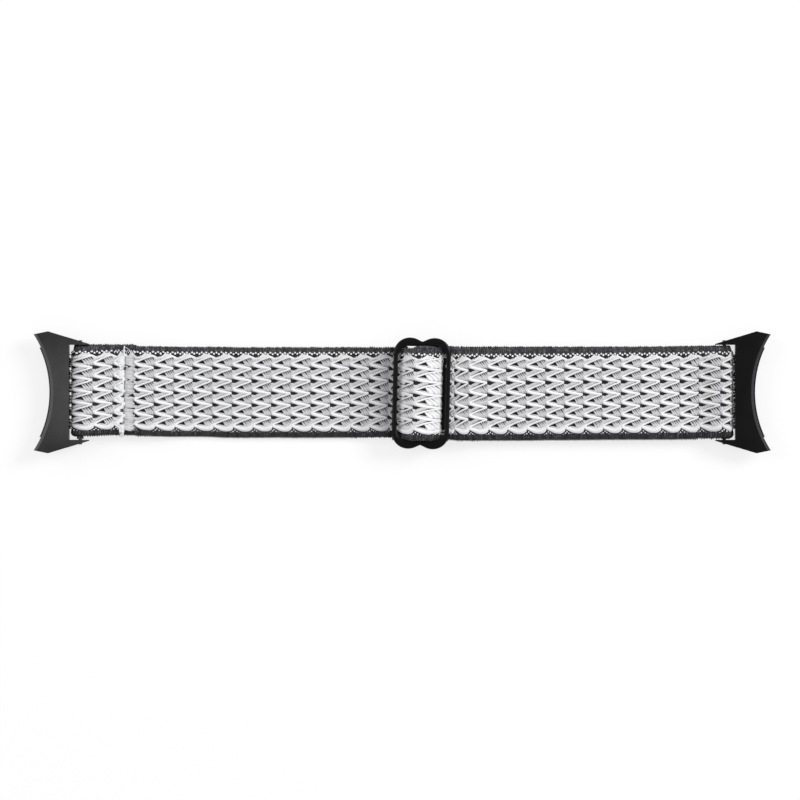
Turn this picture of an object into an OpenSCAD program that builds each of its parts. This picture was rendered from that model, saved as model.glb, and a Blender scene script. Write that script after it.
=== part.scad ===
// Braided nylon watch strap lying flat on a table, face up.
// X runs along the strap, Y across it, Z up. The table is at Z = 0 and X = 0 is half way between the pins.

/* [Band] */
// Width of the woven band
band_w = 20; // [18:0.5:22]
// Thickness of one layer of the band
band_t = 1.2; // [1:0.05:1.4]
// Thickness of the band where it is sewn down round the middle bar
sewn_t = 0.9; // [0.8:0.05:1]
// Distance from one strap pin to the other, axis to axis
pin_span = 141.6; // [136:0.4:160]
// Room between two layers of the band that lie on each other
layer_gap = 0.2; // [0.1:0.05:0.3]
// Room between neighbouring lengths of the band that move apart
cut_gap = 0.8; // [0.7:0.05:1]
// Length of the neck in which the two layers close up beside a pin
neck_len = 6.5; // [6:0.25:8]
// Distance from the left pin to the sewn seam
seam_pos = 9.2; // [8:0.2:10]
// Length of the loose tail past the left seam
tail_past_seam = 2.9; // [2:0.1:3.5]
// Length of band that bends beside each end
flex_len = 10; // [8:0.5:12]
// Distance from the left pin to the stretch that bends
left_flex_pos = 14.8; // [14:0.2:16]
// Distance from the right pin to the stretch that bends
right_flex_pos = 8.8; // [8:0.2:11]

/* [Seam threads] */
// Length of one stitch
stitch_len = 1.5; // [1:0.1:1.8]
// Distance from one stitch to the next
stitch_pitch = 2; // [1.9:0.05:2.5]
// Width of a stitch
stitch_w = 0.35; // [0.25:0.05:0.45]
// How far a stitch stands proud of the cloth
stitch_t = 0.15; // [0.1:0.01:0.17]
// Distance from the tab's end to the stitches in it
tab_stitch_inset = 1.4; // [1:0.1:1.8]
// Bare cloth past the last stitch on each side
stitch_margin = 0.5; // [0.3:0.1:1]

/* [Slider] */
// Place of the slider's middle bar along the strap
slider_x = 4.2; // [-4:0.2:10]
// Turn of the slider on the band, seen from above
slider_turn = -1.4; // [-2.6:0.1:2.6]
// Width of the slider along the strap
slider_w = 12.4; // [11.6:0.1:12.8]
// Height of the slider across the strap, over its end lobes
slider_h = 24.4; // [23.8:0.1:26]
// Width of each outer bar
side_bar_w = 0.96; // [0.8:0.02:1.3]
// Depth of the casting
frame_t = 1.4; // [1.2:0.05:1.6]
// Radius of the middle bar
mid_bar_r = 0.65; // [0.55:0.05:0.7]
// Room on each side of the band inside the slider
slider_side_room = 0.3; // [0.25:0.05:0.5]
// Distance from the middle of the slider to the top of each lobe
lobe_x = 2.75; // [2.5:0.05:3.1]
// How far the dip between the lobes lies below them
lobe_dip = 0.9; // [0.7:0.05:1.15]
// Radius of the windows' corners
window_corner_r = 0.9; // [0.5:0.1:1.2]
// Room between the slider's bars and the cloth
bar_play = 0.1; // [0.06:0.01:0.14]
// How far past the side bar's inner edge the slope of the band over the middle bar ends
hump_past_edge = 0.05; // [0:0.01:0.1]
// Radius of the band's bend at the foot of that slope
foot_bend_r = 1; // [0.9:0.05:1.1]
// Length of the sewn tab past the outer bar
tab_past_bar = 2.3; // [2:0.1:3]
// How far past the hump's round the sewn layers come down
foot_out = 1.3; // [1.2:0.05:1.5]

/* [Strap pins] */
// Radius of a pin's tube
pin_r = 0.75; // [0.7:0.01:0.8]
// Wall of a pin's tube
pin_wall = 0.14; // [0.12:0.01:0.15]
// Radius of a pin's tip
tip_r = 0.4; // [0.36:0.01:0.42]
// How much thinner a tip's neck is than its end, on the radius
neck_relief = 0.17; // [0.16:0.005:0.18]
// Running play between sliding metal pieces, on the radius
metal_play = 0.04; // [0.03:0.005:0.05]
// Room between the pin and the band that wraps it
wrap_room = 0.05; // [0.03:0.01:0.08]
// Length of the thicker shank on a tip, inside its tube
shank_len = 3; // [2.5:0.1:3.5]
// Thickness of the lip that keeps a tip in its tube
lip_t = 0.2; // [0.15:0.01:0.25]
// How far a tip shows past the ear
tip_proud = 0.2; // [0.1:0.02:0.3]
// Room between the end of a tube and the ear
tube_end_room = 0.2; // [0.1:0.02:0.25]
// Wire radius of the springs inside the pins
wire_r = 0.08; // [0.06:0.01:0.09]
// Number of turns in each spring
spring_turns = 12; // [8:1:14]

/* [End link] */
// Room between the band and each ear
ear_room = 0.45; // [0.3:0.05:0.6]
// Thickness of an ear at the pin
ear_t = 0.81; // [0.7:0.01:1]
// Slant of the ears' outer sides, in degrees
ear_slant = 17; // [15:0.5:19]
// Room between the band's loop and the body of the link
loop_room = 0.44; // [0.4:0.02:0.6]
// Length of the body, from the loop side to the middle of the hollow edge
body_len = 3.96; // [3.8:0.02:4.2]
// Radius of the watch case that the hollow edge seats against
seat_r = 23.4; // [22.6:0.2:25]
// Thickness of the top plate
plate_t = 1.2; // [1:0.05:1.3]
// Distance from the pin to the side corner of the top plate
corner_pos = 7; // [6.6:0.1:7.4]
// How far the wing's outer edge turns in from the side corner to its tip
wing_turn_in = 0.7; // [0.5:0.05:0.9]
// Distance from the pin to the end of the wing
wing_end = 10.4; // [10.2:0.05:10.6]
// Chamfer along the hollow edge of the top plate
edge_bevel = 0.6; // [0.3:0.05:0.7]
// How much narrower than the band the lower block is, to go between the watch's lugs
lug_room = 0.3; // [0.2:0.1:0.7]
// How far the lower block stands out past the top plate
block_proud = 0.35; // [0.2:0.05:0.5]
// Thickness of the cross wall behind the lugs
cross_wall = 0.7; // [0.6:0.05:0.8]
// Play of the strap pin's tip in the ear, on the radius
ear_hole_play = 0.05; // [0.04:0.005:0.08]

/* [Watch pins] */
// Distance from the strap pin to the watch pin
watch_pin_pos = 4.7; // [4.6:0.02:4.8]
// Height of the watch pin above the underside of the link
watch_pin_z = 1.6; // [1.5:0.02:1.7]
// How far the watch pin's tube ends inside the block
tube_end_inset = 0.1; // [0.05:0.01:0.15]
// Height of the lever's end above the underside of the link
lever_end_z = 0.15; // [0.1:0.01:0.3]
// Length of tip that enters the watch's lug
lug_tip_len = 1; // [0.8:0.05:1.1]
// Play between the watch pin's tube and the block, on the radius
block_bore_play = 0.05; // [0.04:0.005:0.08]
// Travel of the release lever
release_travel = 1.2; // [1:0.05:1.3]
// Radius of the release lever's peg
lever_r = 0.32; // [0.28:0.01:0.34]
// Distance from the lever, at rest, to the block's side
lever_inset = 2.4; // [2.2:0.05:2.8]
// Depth of the finger pocket round the lever
pocket_depth = 0.5; // [0.4:0.05:0.6]
// Width of the finger pocket
pocket_w = 3; // [2.6:0.1:3.2]

/* [Hidden] */
$fn = 64;
cloth_grey = [0.62, 0.62, 0.63];
thread_white = [0.95, 0.95, 0.94];
satin_black = [0.09, 0.09, 0.09];
pin_steel = [0.72, 0.72, 0.73];
spring_steel = [0.5, 0.5, 0.52];
curve_steps = 16;
overcut = 1;
touch = 0.02;

// Heights of the layers' middle lines, from the table up
loop_mid = pin_r + wrap_room + band_t / 2;
loop_out = loop_mid + band_t / 2;
table_room = 0.1;
pin_z = loop_out + table_room;
pin_x = pin_span / 2;
rear_z = band_t / 2;
front_z = rear_z + band_t + layer_gap;
sewn_rear_z = stitch_t + sewn_t / 2;
sewn_tab_z = sewn_rear_z + sewn_t + touch;
stack_room = 0.05;
under_bar_z = sewn_tab_z + sewn_t / 2 + stitch_t + stack_room + band_t / 2;

// The slider's section, with x counted from its middle bar
frame_z = under_bar_z + band_t / 2 + bar_play + frame_t / 2;
side_bar_x = slider_w / 2 - side_bar_w / 2;
window_h = band_w + 2 * slider_side_room;
sewn_mid_r = mid_bar_r + bar_play / 2 + sewn_t / 2;
hump_r = sewn_mid_r + sewn_t / 2 + bar_play + band_t / 2;
hump_drop = frame_z + hump_r - under_bar_z;

// The slope ends beside the side bar, so its angle follows from the slider's width
hump_foot_x = slider_w / 2 - side_bar_w + hump_past_edge;
hump_bends = hump_r + foot_bend_r;
hump_slope = atan2(hump_drop - hump_bends, hump_foot_x)
    + asin(hump_bends / norm([hump_foot_x, hump_drop - hump_bends]));
slope_len = (hump_drop - (hump_r + foot_bend_r) * (1 - cos(hump_slope))) / sin(hump_slope);
tab_end_x = slider_w / 2 + tab_past_bar;
tab_stitch_x = tab_end_x - tab_stitch_inset;

// Places along the strap
left_run_end = slider_x - side_bar_x - cut_gap;
front_run_start = slider_x + side_bar_x + cut_gap;
rear_run_start = slider_x + tab_end_x + cut_gap;
left_flex_start = -pin_x + left_flex_pos;
left_flex_end = left_flex_start + flex_len;
right_flex_end = pin_x - right_flex_pos;
right_flex_start = right_flex_end - flex_len;
rise_len = 9;

// The end link, with x counted from the strap pin towards the watch and its underside at 0
block_w = band_w - lug_room;
ear_in = band_w / 2 + ear_room;
ear_out = ear_in + ear_t;
ear_r = loop_out;
body_x = loop_out + loop_room;
seat_x = body_x + body_len;
link_h = pin_z + ear_r;
block_h = link_h - plate_t;
tip_end = ear_out + tip_proud;
strap_tube_half = ear_in - tube_end_room;
watch_tube_half = block_w / 2 - tube_end_inset;
bore_in_tube = pin_r - pin_wall;
shank_r = bore_in_tube - metal_play;
neck_r = tip_r - neck_relief;
spring_r = shank_r - wire_r;
spring_past_shank = lip_t + shank_len + 2 * touch;
tip_chamfer = 0.1;
lever_x = block_w / 2 - lever_inset;
slot_side_room = 0.1;

// A flare line: half width of the link at a distance from the pin
function side_at(x) = ear_out + tan(ear_slant) * x;

// Points along an arc, and along a smooth step from one height to another
function arc(c, r, from, to) = [
    for (i = [0 : curve_steps]) let (a = from + (to - from) * i / curve_steps) c + r * [cos(a), sin(a)]
];
function step_to(a, b) = [
    for (i = [0 : curve_steps]) let (u = i / curve_steps)
        [a[0] + (b[0] - a[0]) * u, a[1] + (b[1] - a[1]) * (1 - cos(180 * u)) / 2]
];

// The outline of a ribbon of thickness t whose middle line follows the path
function unit(v) = v / norm(v);
function heading(path, i) = unit(path[min(i + 1, len(path) - 1)] - path[max(i - 1, 0)]);
function side_point(path, i, off) = let (d = heading(path, i)) path[i] + off * [-d[1], d[0]];
function ribbon_outline(path, t) = concat(
    [for (i = [0 : len(path) - 1]) side_point(path, i, t / 2)],
    [for (i = [len(path) - 1 : -1 : 0]) side_point(path, i, -t / 2)]
);

// A length of band: the path lies in the X-Z plane and the cloth spans the band's width
module cloth(path, t = band_t, w = band_w) {
    rotate([90, 0, 0])
        linear_extrude(height = w, center = true)
            polygon(ribbon_outline(path, t));
}

// The band's loop round a pin that stands at x = 0, opening towards +x, from the rear layer to the front one
function loop_path(rear_end, front_end) = concat(
    [[rear_end, rear_z]],
    step_to([neck_len, rear_z], [0, pin_z - loop_mid]),
    [for (i = [1 : 2 * curve_steps - 1]) let (a = -90 - 180 * i / (2 * curve_steps))
        [loop_mid * cos(a), pin_z + loop_mid * sin(a)]],
    step_to([0, pin_z + loop_mid], [neck_len, front_z]),
    [[front_end, front_z]]
);

module on_slider() {
    translate([slider_x, 0, 0])
        rotate([0, 0, slider_turn])
            children();
}

module stitches(z) {
    count = floor((band_w - stitch_len - 2 * stitch_margin) / stitch_pitch);
    for (i = [0 : count])
        translate([-stitch_w / 2, (i - count / 2) * stitch_pitch - stitch_len / 2, z])
            cube([stitch_w, stitch_len, stitch_t]);
}

// Band, from the left pin to the right one and back to the slider
module band_left_loop() {
    color(cloth_grey)
        translate([-pin_x, 0, 0])
            cloth(loop_path(seam_pos + tail_past_seam, left_flex_pos));
}

module band_left_bend() {
    color(cloth_grey)
        cloth(step_to([left_flex_start + cut_gap, front_z], [left_flex_end, rear_z]));
}

module band_left_run() {
    color(cloth_grey)
        cloth(concat(
            [[left_flex_end, rear_z]],
            step_to([left_run_end - rise_len, rear_z], [left_run_end, under_bar_z])
        ));
}

module band_over_bar() {
    peak = [0, frame_z];
    slope_top = peak + hump_r * [sin(hump_slope), cos(hump_slope)];
    slope_foot = slope_top + slope_len * [cos(hump_slope), -sin(hump_slope)];
    bend_c = slope_foot + foot_bend_r * [sin(hump_slope), cos(hump_slope)];
    right_half = concat(
        arc(peak, hump_r, 90, 90 - hump_slope),
        arc(bend_c, foot_bend_r, 270 - hump_slope, 270),
        [[max(side_bar_x, bend_c[0] + touch), under_bar_z]]
    );
    left_half = [for (i = [len(right_half) - 1 : -1 : 1]) [-right_half[i][0], right_half[i][1]]];
    color(cloth_grey)
        on_slider()
            cloth(concat(left_half, right_half));
}

module band_sewn_end() {
    c = [0, frame_z];
    rear_foot = [hump_r + foot_out, sewn_rear_z];
    tab_foot = rear_foot + [sewn_t / 2, sewn_tab_z - sewn_rear_z];
    rear_way = atan2(c[1] - rear_foot[1], c[0] - rear_foot[0]) + asin(sewn_mid_r / norm(c - rear_foot));
    tab_way = atan2(c[1] - tab_foot[1], c[0] - tab_foot[0]) - asin(sewn_mid_r / norm(c - tab_foot));
    color(cloth_grey)
        on_slider()
            cloth(concat(
                [[tab_end_x, sewn_rear_z], rear_foot],
                arc(c, sewn_mid_r, rear_way + 90, tab_way - 90),
                [tab_foot, [tab_end_x, sewn_tab_z]]
            ), sewn_t);
}

module band_front_run() {
    color(cloth_grey)
        cloth(concat(
            [[front_run_start, under_bar_z], [rear_run_start, under_bar_z]],
            step_to([rear_run_start + touch, under_bar_z], [rear_run_start + rise_len, front_z]),
            [[right_flex_start, front_z]]
        ));
}

module band_rear_run() {
    color(cloth_grey)
        cloth([[rear_run_start, rear_z], [right_flex_start, rear_z]]);
}

module band_right_bend() {
    color(cloth_grey) {
        cloth([[right_flex_start, front_z], [right_flex_end - cut_gap, front_z]]);
        cloth([[right_flex_start, rear_z], [right_flex_end - cut_gap, rear_z]]);
    }
}

module band_right_loop() {
    color(cloth_grey)
        translate([pin_x, 0, 0])
            rotate([0, 0, 180])
                cloth(loop_path(right_flex_pos, right_flex_pos));
}

// Seam threads
module left_seam_thread() {
    color(thread_white)
        translate([-pin_x + seam_pos, 0, 0])
            stitches(front_z + band_t / 2);
}

module slider_seam_thread() {
    color(thread_white)
        on_slider()
            translate([tab_stitch_x, 0, 0]) {
                stitches(0);
                stitches(sewn_tab_z + sewn_t / 2);
            }
}

// Slider: a flat ring with two lobes at each end and a round middle bar
module slider_end_outline() {
    corner_r = slider_w / 2 - lobe_x;
    lobe_y = slider_h / 2;
    dip_r = (lobe_x * lobe_x + lobe_dip * lobe_dip) / (2 * lobe_dip);
    for (side = [-1, 1])
        translate([side * lobe_x, lobe_y - corner_r])
            circle(r = corner_r);
    for (side = [-1, 1])
        intersection() {
            translate([side * lobe_x, lobe_y - dip_r])
                circle(r = dip_r);
            translate([side > 0 ? 0 : -lobe_x, lobe_y - corner_r])
                square([lobe_x, corner_r + overcut]);
        }
}

module slider_window() {
    w = slider_w - 2 * side_bar_w;
    for (x = [-1, 1], y = [-1, 1])
        translate([x * (w / 2 - window_corner_r), y * (window_h / 2 - window_corner_r)])
            circle(r = window_corner_r);
    square([w, window_h - 2 * window_corner_r], center = true);
    square([w - 2 * window_corner_r, window_h], center = true);
}

module slider_frame() {
    straight_h = slider_h - 2 * (slider_w / 2 - lobe_x);
    color(satin_black)
        on_slider() {
            translate([0, 0, frame_z - frame_t / 2])
                linear_extrude(height = frame_t)
                    difference() {
                        union() {
                            square([slider_w, straight_h], center = true);
                            slider_end_outline();
                            mirror([0, 1])
                                slider_end_outline();
                        }
                        slider_window();
                    }
            translate([0, 0, frame_z])
                rotate([90, 0, 0])
                    cylinder(r = mid_bar_r, h = window_h + 1, center = true);
        }
}

// End link: top plate with wings, two ears for the strap pin and a block for the watch pin
module link_plan() {
    tip_v = side_at(corner_pos) - wing_turn_in;
    difference() {
        polygon([
            [-ear_r - overcut, -side_at(-ear_r - overcut)],
            [corner_pos, -side_at(corner_pos)],
            [wing_end, -tip_v],
            [wing_end, tip_v],
            [corner_pos, side_at(corner_pos)],
            [-ear_r - overcut, side_at(-ear_r - overcut)]
        ]);
        translate([seat_x + seat_r, 0])
            circle(r = seat_r, $fn = 256);
    }
}

module link_side_profile() {
    translate([0, pin_z])
        circle(r = ear_r);
    translate([0, pin_z - ear_r])
        square([body_x + cross_wall, 2 * ear_r]);
}

module link_ears() {
    intersection() {
        linear_extrude(height = link_h)
            link_plan();
        rotate([90, 0, 0])
            linear_extrude(height = 4 * ear_out, center = true)
                link_side_profile();
    }
}

module link_block() {
    linear_extrude(height = block_h)
        intersection() {
            translate([body_x, -block_w / 2])
                square([wing_end, block_w]);
            difference() {
                square(4 * ear_out, center = true);
                translate([seat_x + seat_r + block_proud, 0])
                    circle(r = seat_r, $fn = 256);
            }
        }
}

module link_plate() {
    difference() {
        translate([0, 0, block_h])
            linear_extrude(height = plate_t)
                intersection() {
                    link_plan();
                    translate([body_x, -2 * ear_out])
                        square([wing_end, 4 * ear_out]);
                }
        translate([seat_x + seat_r, 0, link_h - edge_bevel])
            cylinder(r1 = seat_r, r2 = seat_r + edge_bevel + touch, h = edge_bevel + touch, $fn = 256);
    }
}

module end_link() {
    slot_w = 2 * (lever_r + slot_side_room);
    slot_from = lever_x - release_travel - lever_r - slot_side_room;
    slot_len = release_travel + 2 * (lever_r + slot_side_room);
    pocket_len = slot_len + pocket_w - slot_w;
    color(satin_black)
        difference() {
            union() {
                difference() {
                    link_ears();
                    translate([-2 * ear_r, -ear_in, -overcut])
                        cube([2 * ear_r + body_x, 2 * ear_in, link_h + 2 * overcut]);
                }
                link_block();
                link_plate();
            }
            translate([0, 0, pin_z])
                rotate([90, 0, 0])
                    cylinder(r = tip_r + ear_hole_play, h = 4 * ear_out, center = true);
            translate([watch_pin_pos, 0, watch_pin_z])
                rotate([90, 0, 0])
                    cylinder(r = pin_r + block_bore_play, h = block_w + 2 * overcut, center = true);
            translate([watch_pin_pos - slot_w / 2, slot_from, -overcut])
                cube([slot_w, slot_len, overcut + watch_pin_z]);
            translate([watch_pin_pos - pocket_w / 2, slot_from - (pocket_len - slot_len) / 2, -overcut])
                cube([pocket_w, pocket_len, overcut + pocket_depth]);
        }
}

// Sprung pins, along Y, with the middle of the pin at the origin
module pin_profile(half, slot_from = 0, slot_to = 0) {
    difference() {
        rotate([90, 0, 0])
            difference() {
                cylinder(r = pin_r, h = 2 * half, center = true);
                cylinder(r = bore_in_tube, h = 2 * (half - lip_t), center = true);
                cylinder(r = tip_r + metal_play, h = 2 * half + overcut, center = true);
            }
        if (slot_to > slot_from)
            translate([-lever_r - metal_play, slot_from, -pin_r - overcut])
                cube([2 * (lever_r + metal_play), slot_to - slot_from, pin_r + overcut]);
    }
}

// A tip that comes out of the tube's +Y end: shank, neck in the lip, and the bare end
module pin_tip(half, end) {
    shoulder = half - lip_t - touch;
    bare_from = half + touch;
    rotate([-90, 0, 0]) {
        translate([0, 0, shoulder - shank_len])
            cylinder(r = shank_r, h = shank_len);
        translate([0, 0, shoulder])
            cylinder(r = neck_r, h = bare_from - shoulder);
        translate([0, 0, bare_from])
            cylinder(r = tip_r, h = end - tip_chamfer - bare_from);
        translate([0, 0, end - tip_chamfer])
            cylinder(r1 = tip_r, r2 = tip_r - tip_chamfer, h = tip_chamfer);
    }
}

// A coil spring along Y as one wound wire, between two places
module coil_spring(from, to) {
    sides = 6;
    rings_per_turn = 8;
    count = spring_turns * rings_per_turn;
    rise = (to - from - 2 * wire_r) / count;
    centre = [for (i = [0 : count]) let (a = 360 * i / rings_per_turn)
        [spring_r * cos(a), from + wire_r + rise * i, spring_r * sin(a)]];
    points = [for (i = [0 : count], k = [0 : sides - 1])
        let (a = 360 * i / rings_per_turn, b = 360 * k / sides)
            centre[i] + wire_r * (cos(b) * [cos(a), 0, sin(a)] + sin(b) * [0, 1, 0])];
    walls = [for (i = [0 : count - 1], k = [0 : sides - 1], half = [0, 1])
        let (p = i * sides + k, q = i * sides + (k + 1) % sides)
            half == 0 ? [p, q, q + sides] : [p, q + sides, p + sides]];
    first_cap = [for (k = [1 : sides - 2]) [0, k + 1, k]];
    last = count * sides;
    last_cap = [for (k = [1 : sides - 2]) [last, last + k, last + k + 1]];
    polyhedron(points = points, faces = concat(walls, first_cap, last_cap), convexity = 10);
}

module at_left_pin() {
    translate([-pin_x, 0, pin_z])
        children();
}

module at_right_pin() {
    translate([pin_x, 0, pin_z])
        children();
}

module upper_tip(half, end) {
    color(pin_steel)
        pin_tip(half, end);
}

module lower_tip(half, end) {
    color(pin_steel)
        mirror([0, 1, 0])
            pin_tip(half, end);
}

module strap_spring() {
    half = strap_tube_half - spring_past_shank;
    color(spring_steel)
        coil_spring(-half, half);
}

module strap_tube() {
    color(pin_steel)
        pin_profile(strap_tube_half);
}

// Watch pin: fixed tip at -Y, sprung release tip with its lever at +Y
module at_watch_pin() {
    translate([watch_pin_pos, 0, watch_pin_z])
        children();
}

module watch_tube() {
    slot_from = lever_x - release_travel - lever_r - metal_play;
    color(pin_steel)
        at_watch_pin()
            pin_profile(watch_tube_half, slot_from, lever_x + lever_r + metal_play);
}

module watch_fixed_tip() {
    at_watch_pin()
        lower_tip(watch_tube_half, block_w / 2 + lug_tip_len);
}

module watch_release_tip() {
    lever_len = watch_pin_z - lever_end_z;
    at_watch_pin() {
        upper_tip(watch_tube_half, block_w / 2 + lug_tip_len);
        color(pin_steel)
            translate([0, lever_x, -lever_len])
                cylinder(r = lever_r, h = lever_len);
    }
}

module watch_spring() {
    half = watch_tube_half - spring_past_shank;
    color(spring_steel)
        at_watch_pin()
            coil_spring(-half, half);
}

module to_left() {
    translate([-pin_x, 0, 0])
        rotate([0, 0, 180])
            children();
}

module to_right() {
    translate([pin_x, 0, 0])
        children();
}

band_left_loop();
band_left_bend();
band_left_run();
band_over_bar();
band_sewn_end();
band_front_run();
band_rear_run();
band_right_bend();
band_right_loop();
left_seam_thread();
slider_seam_thread();
slider_frame();
to_left() end_link();  // left_end_link
to_right() end_link();  // right_end_link
at_left_pin() strap_tube();  // left_strap_pin_tube
at_left_pin() upper_tip(strap_tube_half, tip_end);  // left_strap_pin_upper_tip
at_left_pin() lower_tip(strap_tube_half, tip_end);  // left_strap_pin_lower_tip
at_left_pin() strap_spring();  // left_strap_pin_spring
at_right_pin() strap_tube();  // right_strap_pin_tube
at_right_pin() upper_tip(strap_tube_half, tip_end);  // right_strap_pin_upper_tip
at_right_pin() lower_tip(strap_tube_half, tip_end);  // right_strap_pin_lower_tip
at_right_pin() strap_spring();  // right_strap_pin_spring
to_left() watch_tube();  // left_watch_pin_tube
to_left() watch_fixed_tip();  // left_watch_pin_fixed_tip
to_left() watch_release_tip();  // left_watch_pin_release_tip
to_left() watch_spring();  // left_watch_pin_spring
to_right() watch_tube();  // right_watch_pin_tube
to_right() watch_fixed_tip();  // right_watch_pin_fixed_tip
to_right() watch_release_tip();  // right_watch_pin_release_tip
to_right() watch_spring();  // right_watch_pin_spring
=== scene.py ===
"""Looks of the braided nylon watch strap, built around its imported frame.

The cloth is woven flat, one zigzag column at a time, and a geometry tree lays the columns along the strap.
Lengths here are in millimetres until a piece is finished, and pieces are handed over in metres.
"""

import math

import bmesh
import bpy
import numpy as np
from mathutils import Matrix, Vector


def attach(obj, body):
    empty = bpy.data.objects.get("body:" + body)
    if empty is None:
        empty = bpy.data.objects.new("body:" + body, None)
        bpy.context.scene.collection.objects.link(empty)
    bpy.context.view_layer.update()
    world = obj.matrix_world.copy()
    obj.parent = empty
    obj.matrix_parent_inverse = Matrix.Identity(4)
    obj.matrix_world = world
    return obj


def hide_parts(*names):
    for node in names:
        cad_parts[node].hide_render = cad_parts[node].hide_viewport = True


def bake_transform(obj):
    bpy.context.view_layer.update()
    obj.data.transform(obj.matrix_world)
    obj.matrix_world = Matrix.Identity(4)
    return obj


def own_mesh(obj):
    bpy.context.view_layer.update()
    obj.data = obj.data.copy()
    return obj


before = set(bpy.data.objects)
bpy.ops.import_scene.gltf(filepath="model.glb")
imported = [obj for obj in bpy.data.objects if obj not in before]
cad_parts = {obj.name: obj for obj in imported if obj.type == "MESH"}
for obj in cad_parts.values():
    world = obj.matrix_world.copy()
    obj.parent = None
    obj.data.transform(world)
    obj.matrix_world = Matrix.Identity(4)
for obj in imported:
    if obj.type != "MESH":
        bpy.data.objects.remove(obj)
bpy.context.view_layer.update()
MM = 0.001

# Sizes taken over from the frame's source
PIN_X = 70.8
PIN_Z = 2.1
LOOP_MID = 1.4
REAR_Z = 0.6
FRONT_Z = 2.0
UNDER_BAR_Z = 2.77
FRAME_Z = 4.17
TAB_Z = 1.52
RISE = 6.5
SLIDER_X = 4.2
SLIDER_Y = -0.24
SLIDER_TURN = math.radians(-1.4)
SEAM_X = -61.6
STRAP_SPRING_END = 7.0
WATCH_SPRING_END = 6.5

# Where one piece of cloth meets the next, and how far a path goes on past it
LEFT_JOIN = -45.9
BULGE_JOIN = 10.2
RUN_END = 52.7
RIGHT_JOIN = 52.72
RUN_ON = 3.0
# How far the two pieces of cloth on the slider reach from its middle
BULGE_REACH = 8.5
SEWN_REACH = 8.5

# The weave, measured flat: one column of zigzag and the rows where it turns
PITCH = 4.319
LEFT_ROWS = (6.66, 3.96, 1.19, -1.45, -4.13, -6.77)
RIGHT_ROWS = (5.19, 2.57, -0.13, -2.84, -5.54)
RIB_PITCH = 0.43
RIB_WAY = math.radians(-57)
STATION_STEP = 0.1
WAVINESS = 0.14


# Trees of nodes


class Socket:
    """A number that comes out of a node, so that sums on it add Math nodes."""

    def __init__(self, graph, socket):
        self.graph = graph
        self.socket = socket

    def _sum(self, operation, *values):
        return self.graph.out(self.graph.node("ShaderNodeMath", dict(enumerate(values)), operation=operation))

    def __add__(self, other):
        return self._sum("ADD", self, other)

    def __sub__(self, other):
        return self._sum("SUBTRACT", self, other)

    def __rsub__(self, other):
        return self._sum("SUBTRACT", other, self)

    def __mul__(self, other):
        return self._sum("MULTIPLY", self, other)

    def __truediv__(self, other):
        return self._sum("DIVIDE", self, other)

    def __rtruediv__(self, other):
        return self._sum("DIVIDE", other, self)

    __radd__ = __add__
    __rmul__ = __mul__

    def sine(self):
        return self._sum("SINE", self)

    def floor(self):
        return self._sum("FLOOR", self)

    def over(self, other):
        return self._sum("MAXIMUM", self, other)

    def under(self, other):
        return self._sum("MINIMUM", self, other)


class Graph:
    """Adds nodes to one tree: every node is made by one method."""

    def __init__(self, tree):
        self.tree = tree

    def feed(self, socket, value):
        """Links a number, an output or a node's first output to a socket, or sets a plain value."""
        if isinstance(value, Socket):
            value = value.socket
        elif isinstance(value, bpy.types.Node):
            value = value.outputs[0]
        if isinstance(value, bpy.types.NodeSocket):
            self.tree.links.new(value, socket)
        else:
            socket.default_value = value

    def node(self, kind, inputs=None, **settings):
        made = self.tree.nodes.new(kind)
        for name, value in settings.items():
            setattr(made, name, value)
        for key, value in (inputs or {}).items():
            self.feed(made.inputs[key], value)
        return made

    def out(self, node, key=0):
        return Socket(self, node.outputs[key])


# The tree that lays woven columns along a path

COLUMN_SOCKETS = ("Column A", "Column B", "Column C", "Column D", "Column E")
NUMBER_SOCKETS = ("Start", "Step", "Last", "Waviness", "Thickness")


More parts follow.
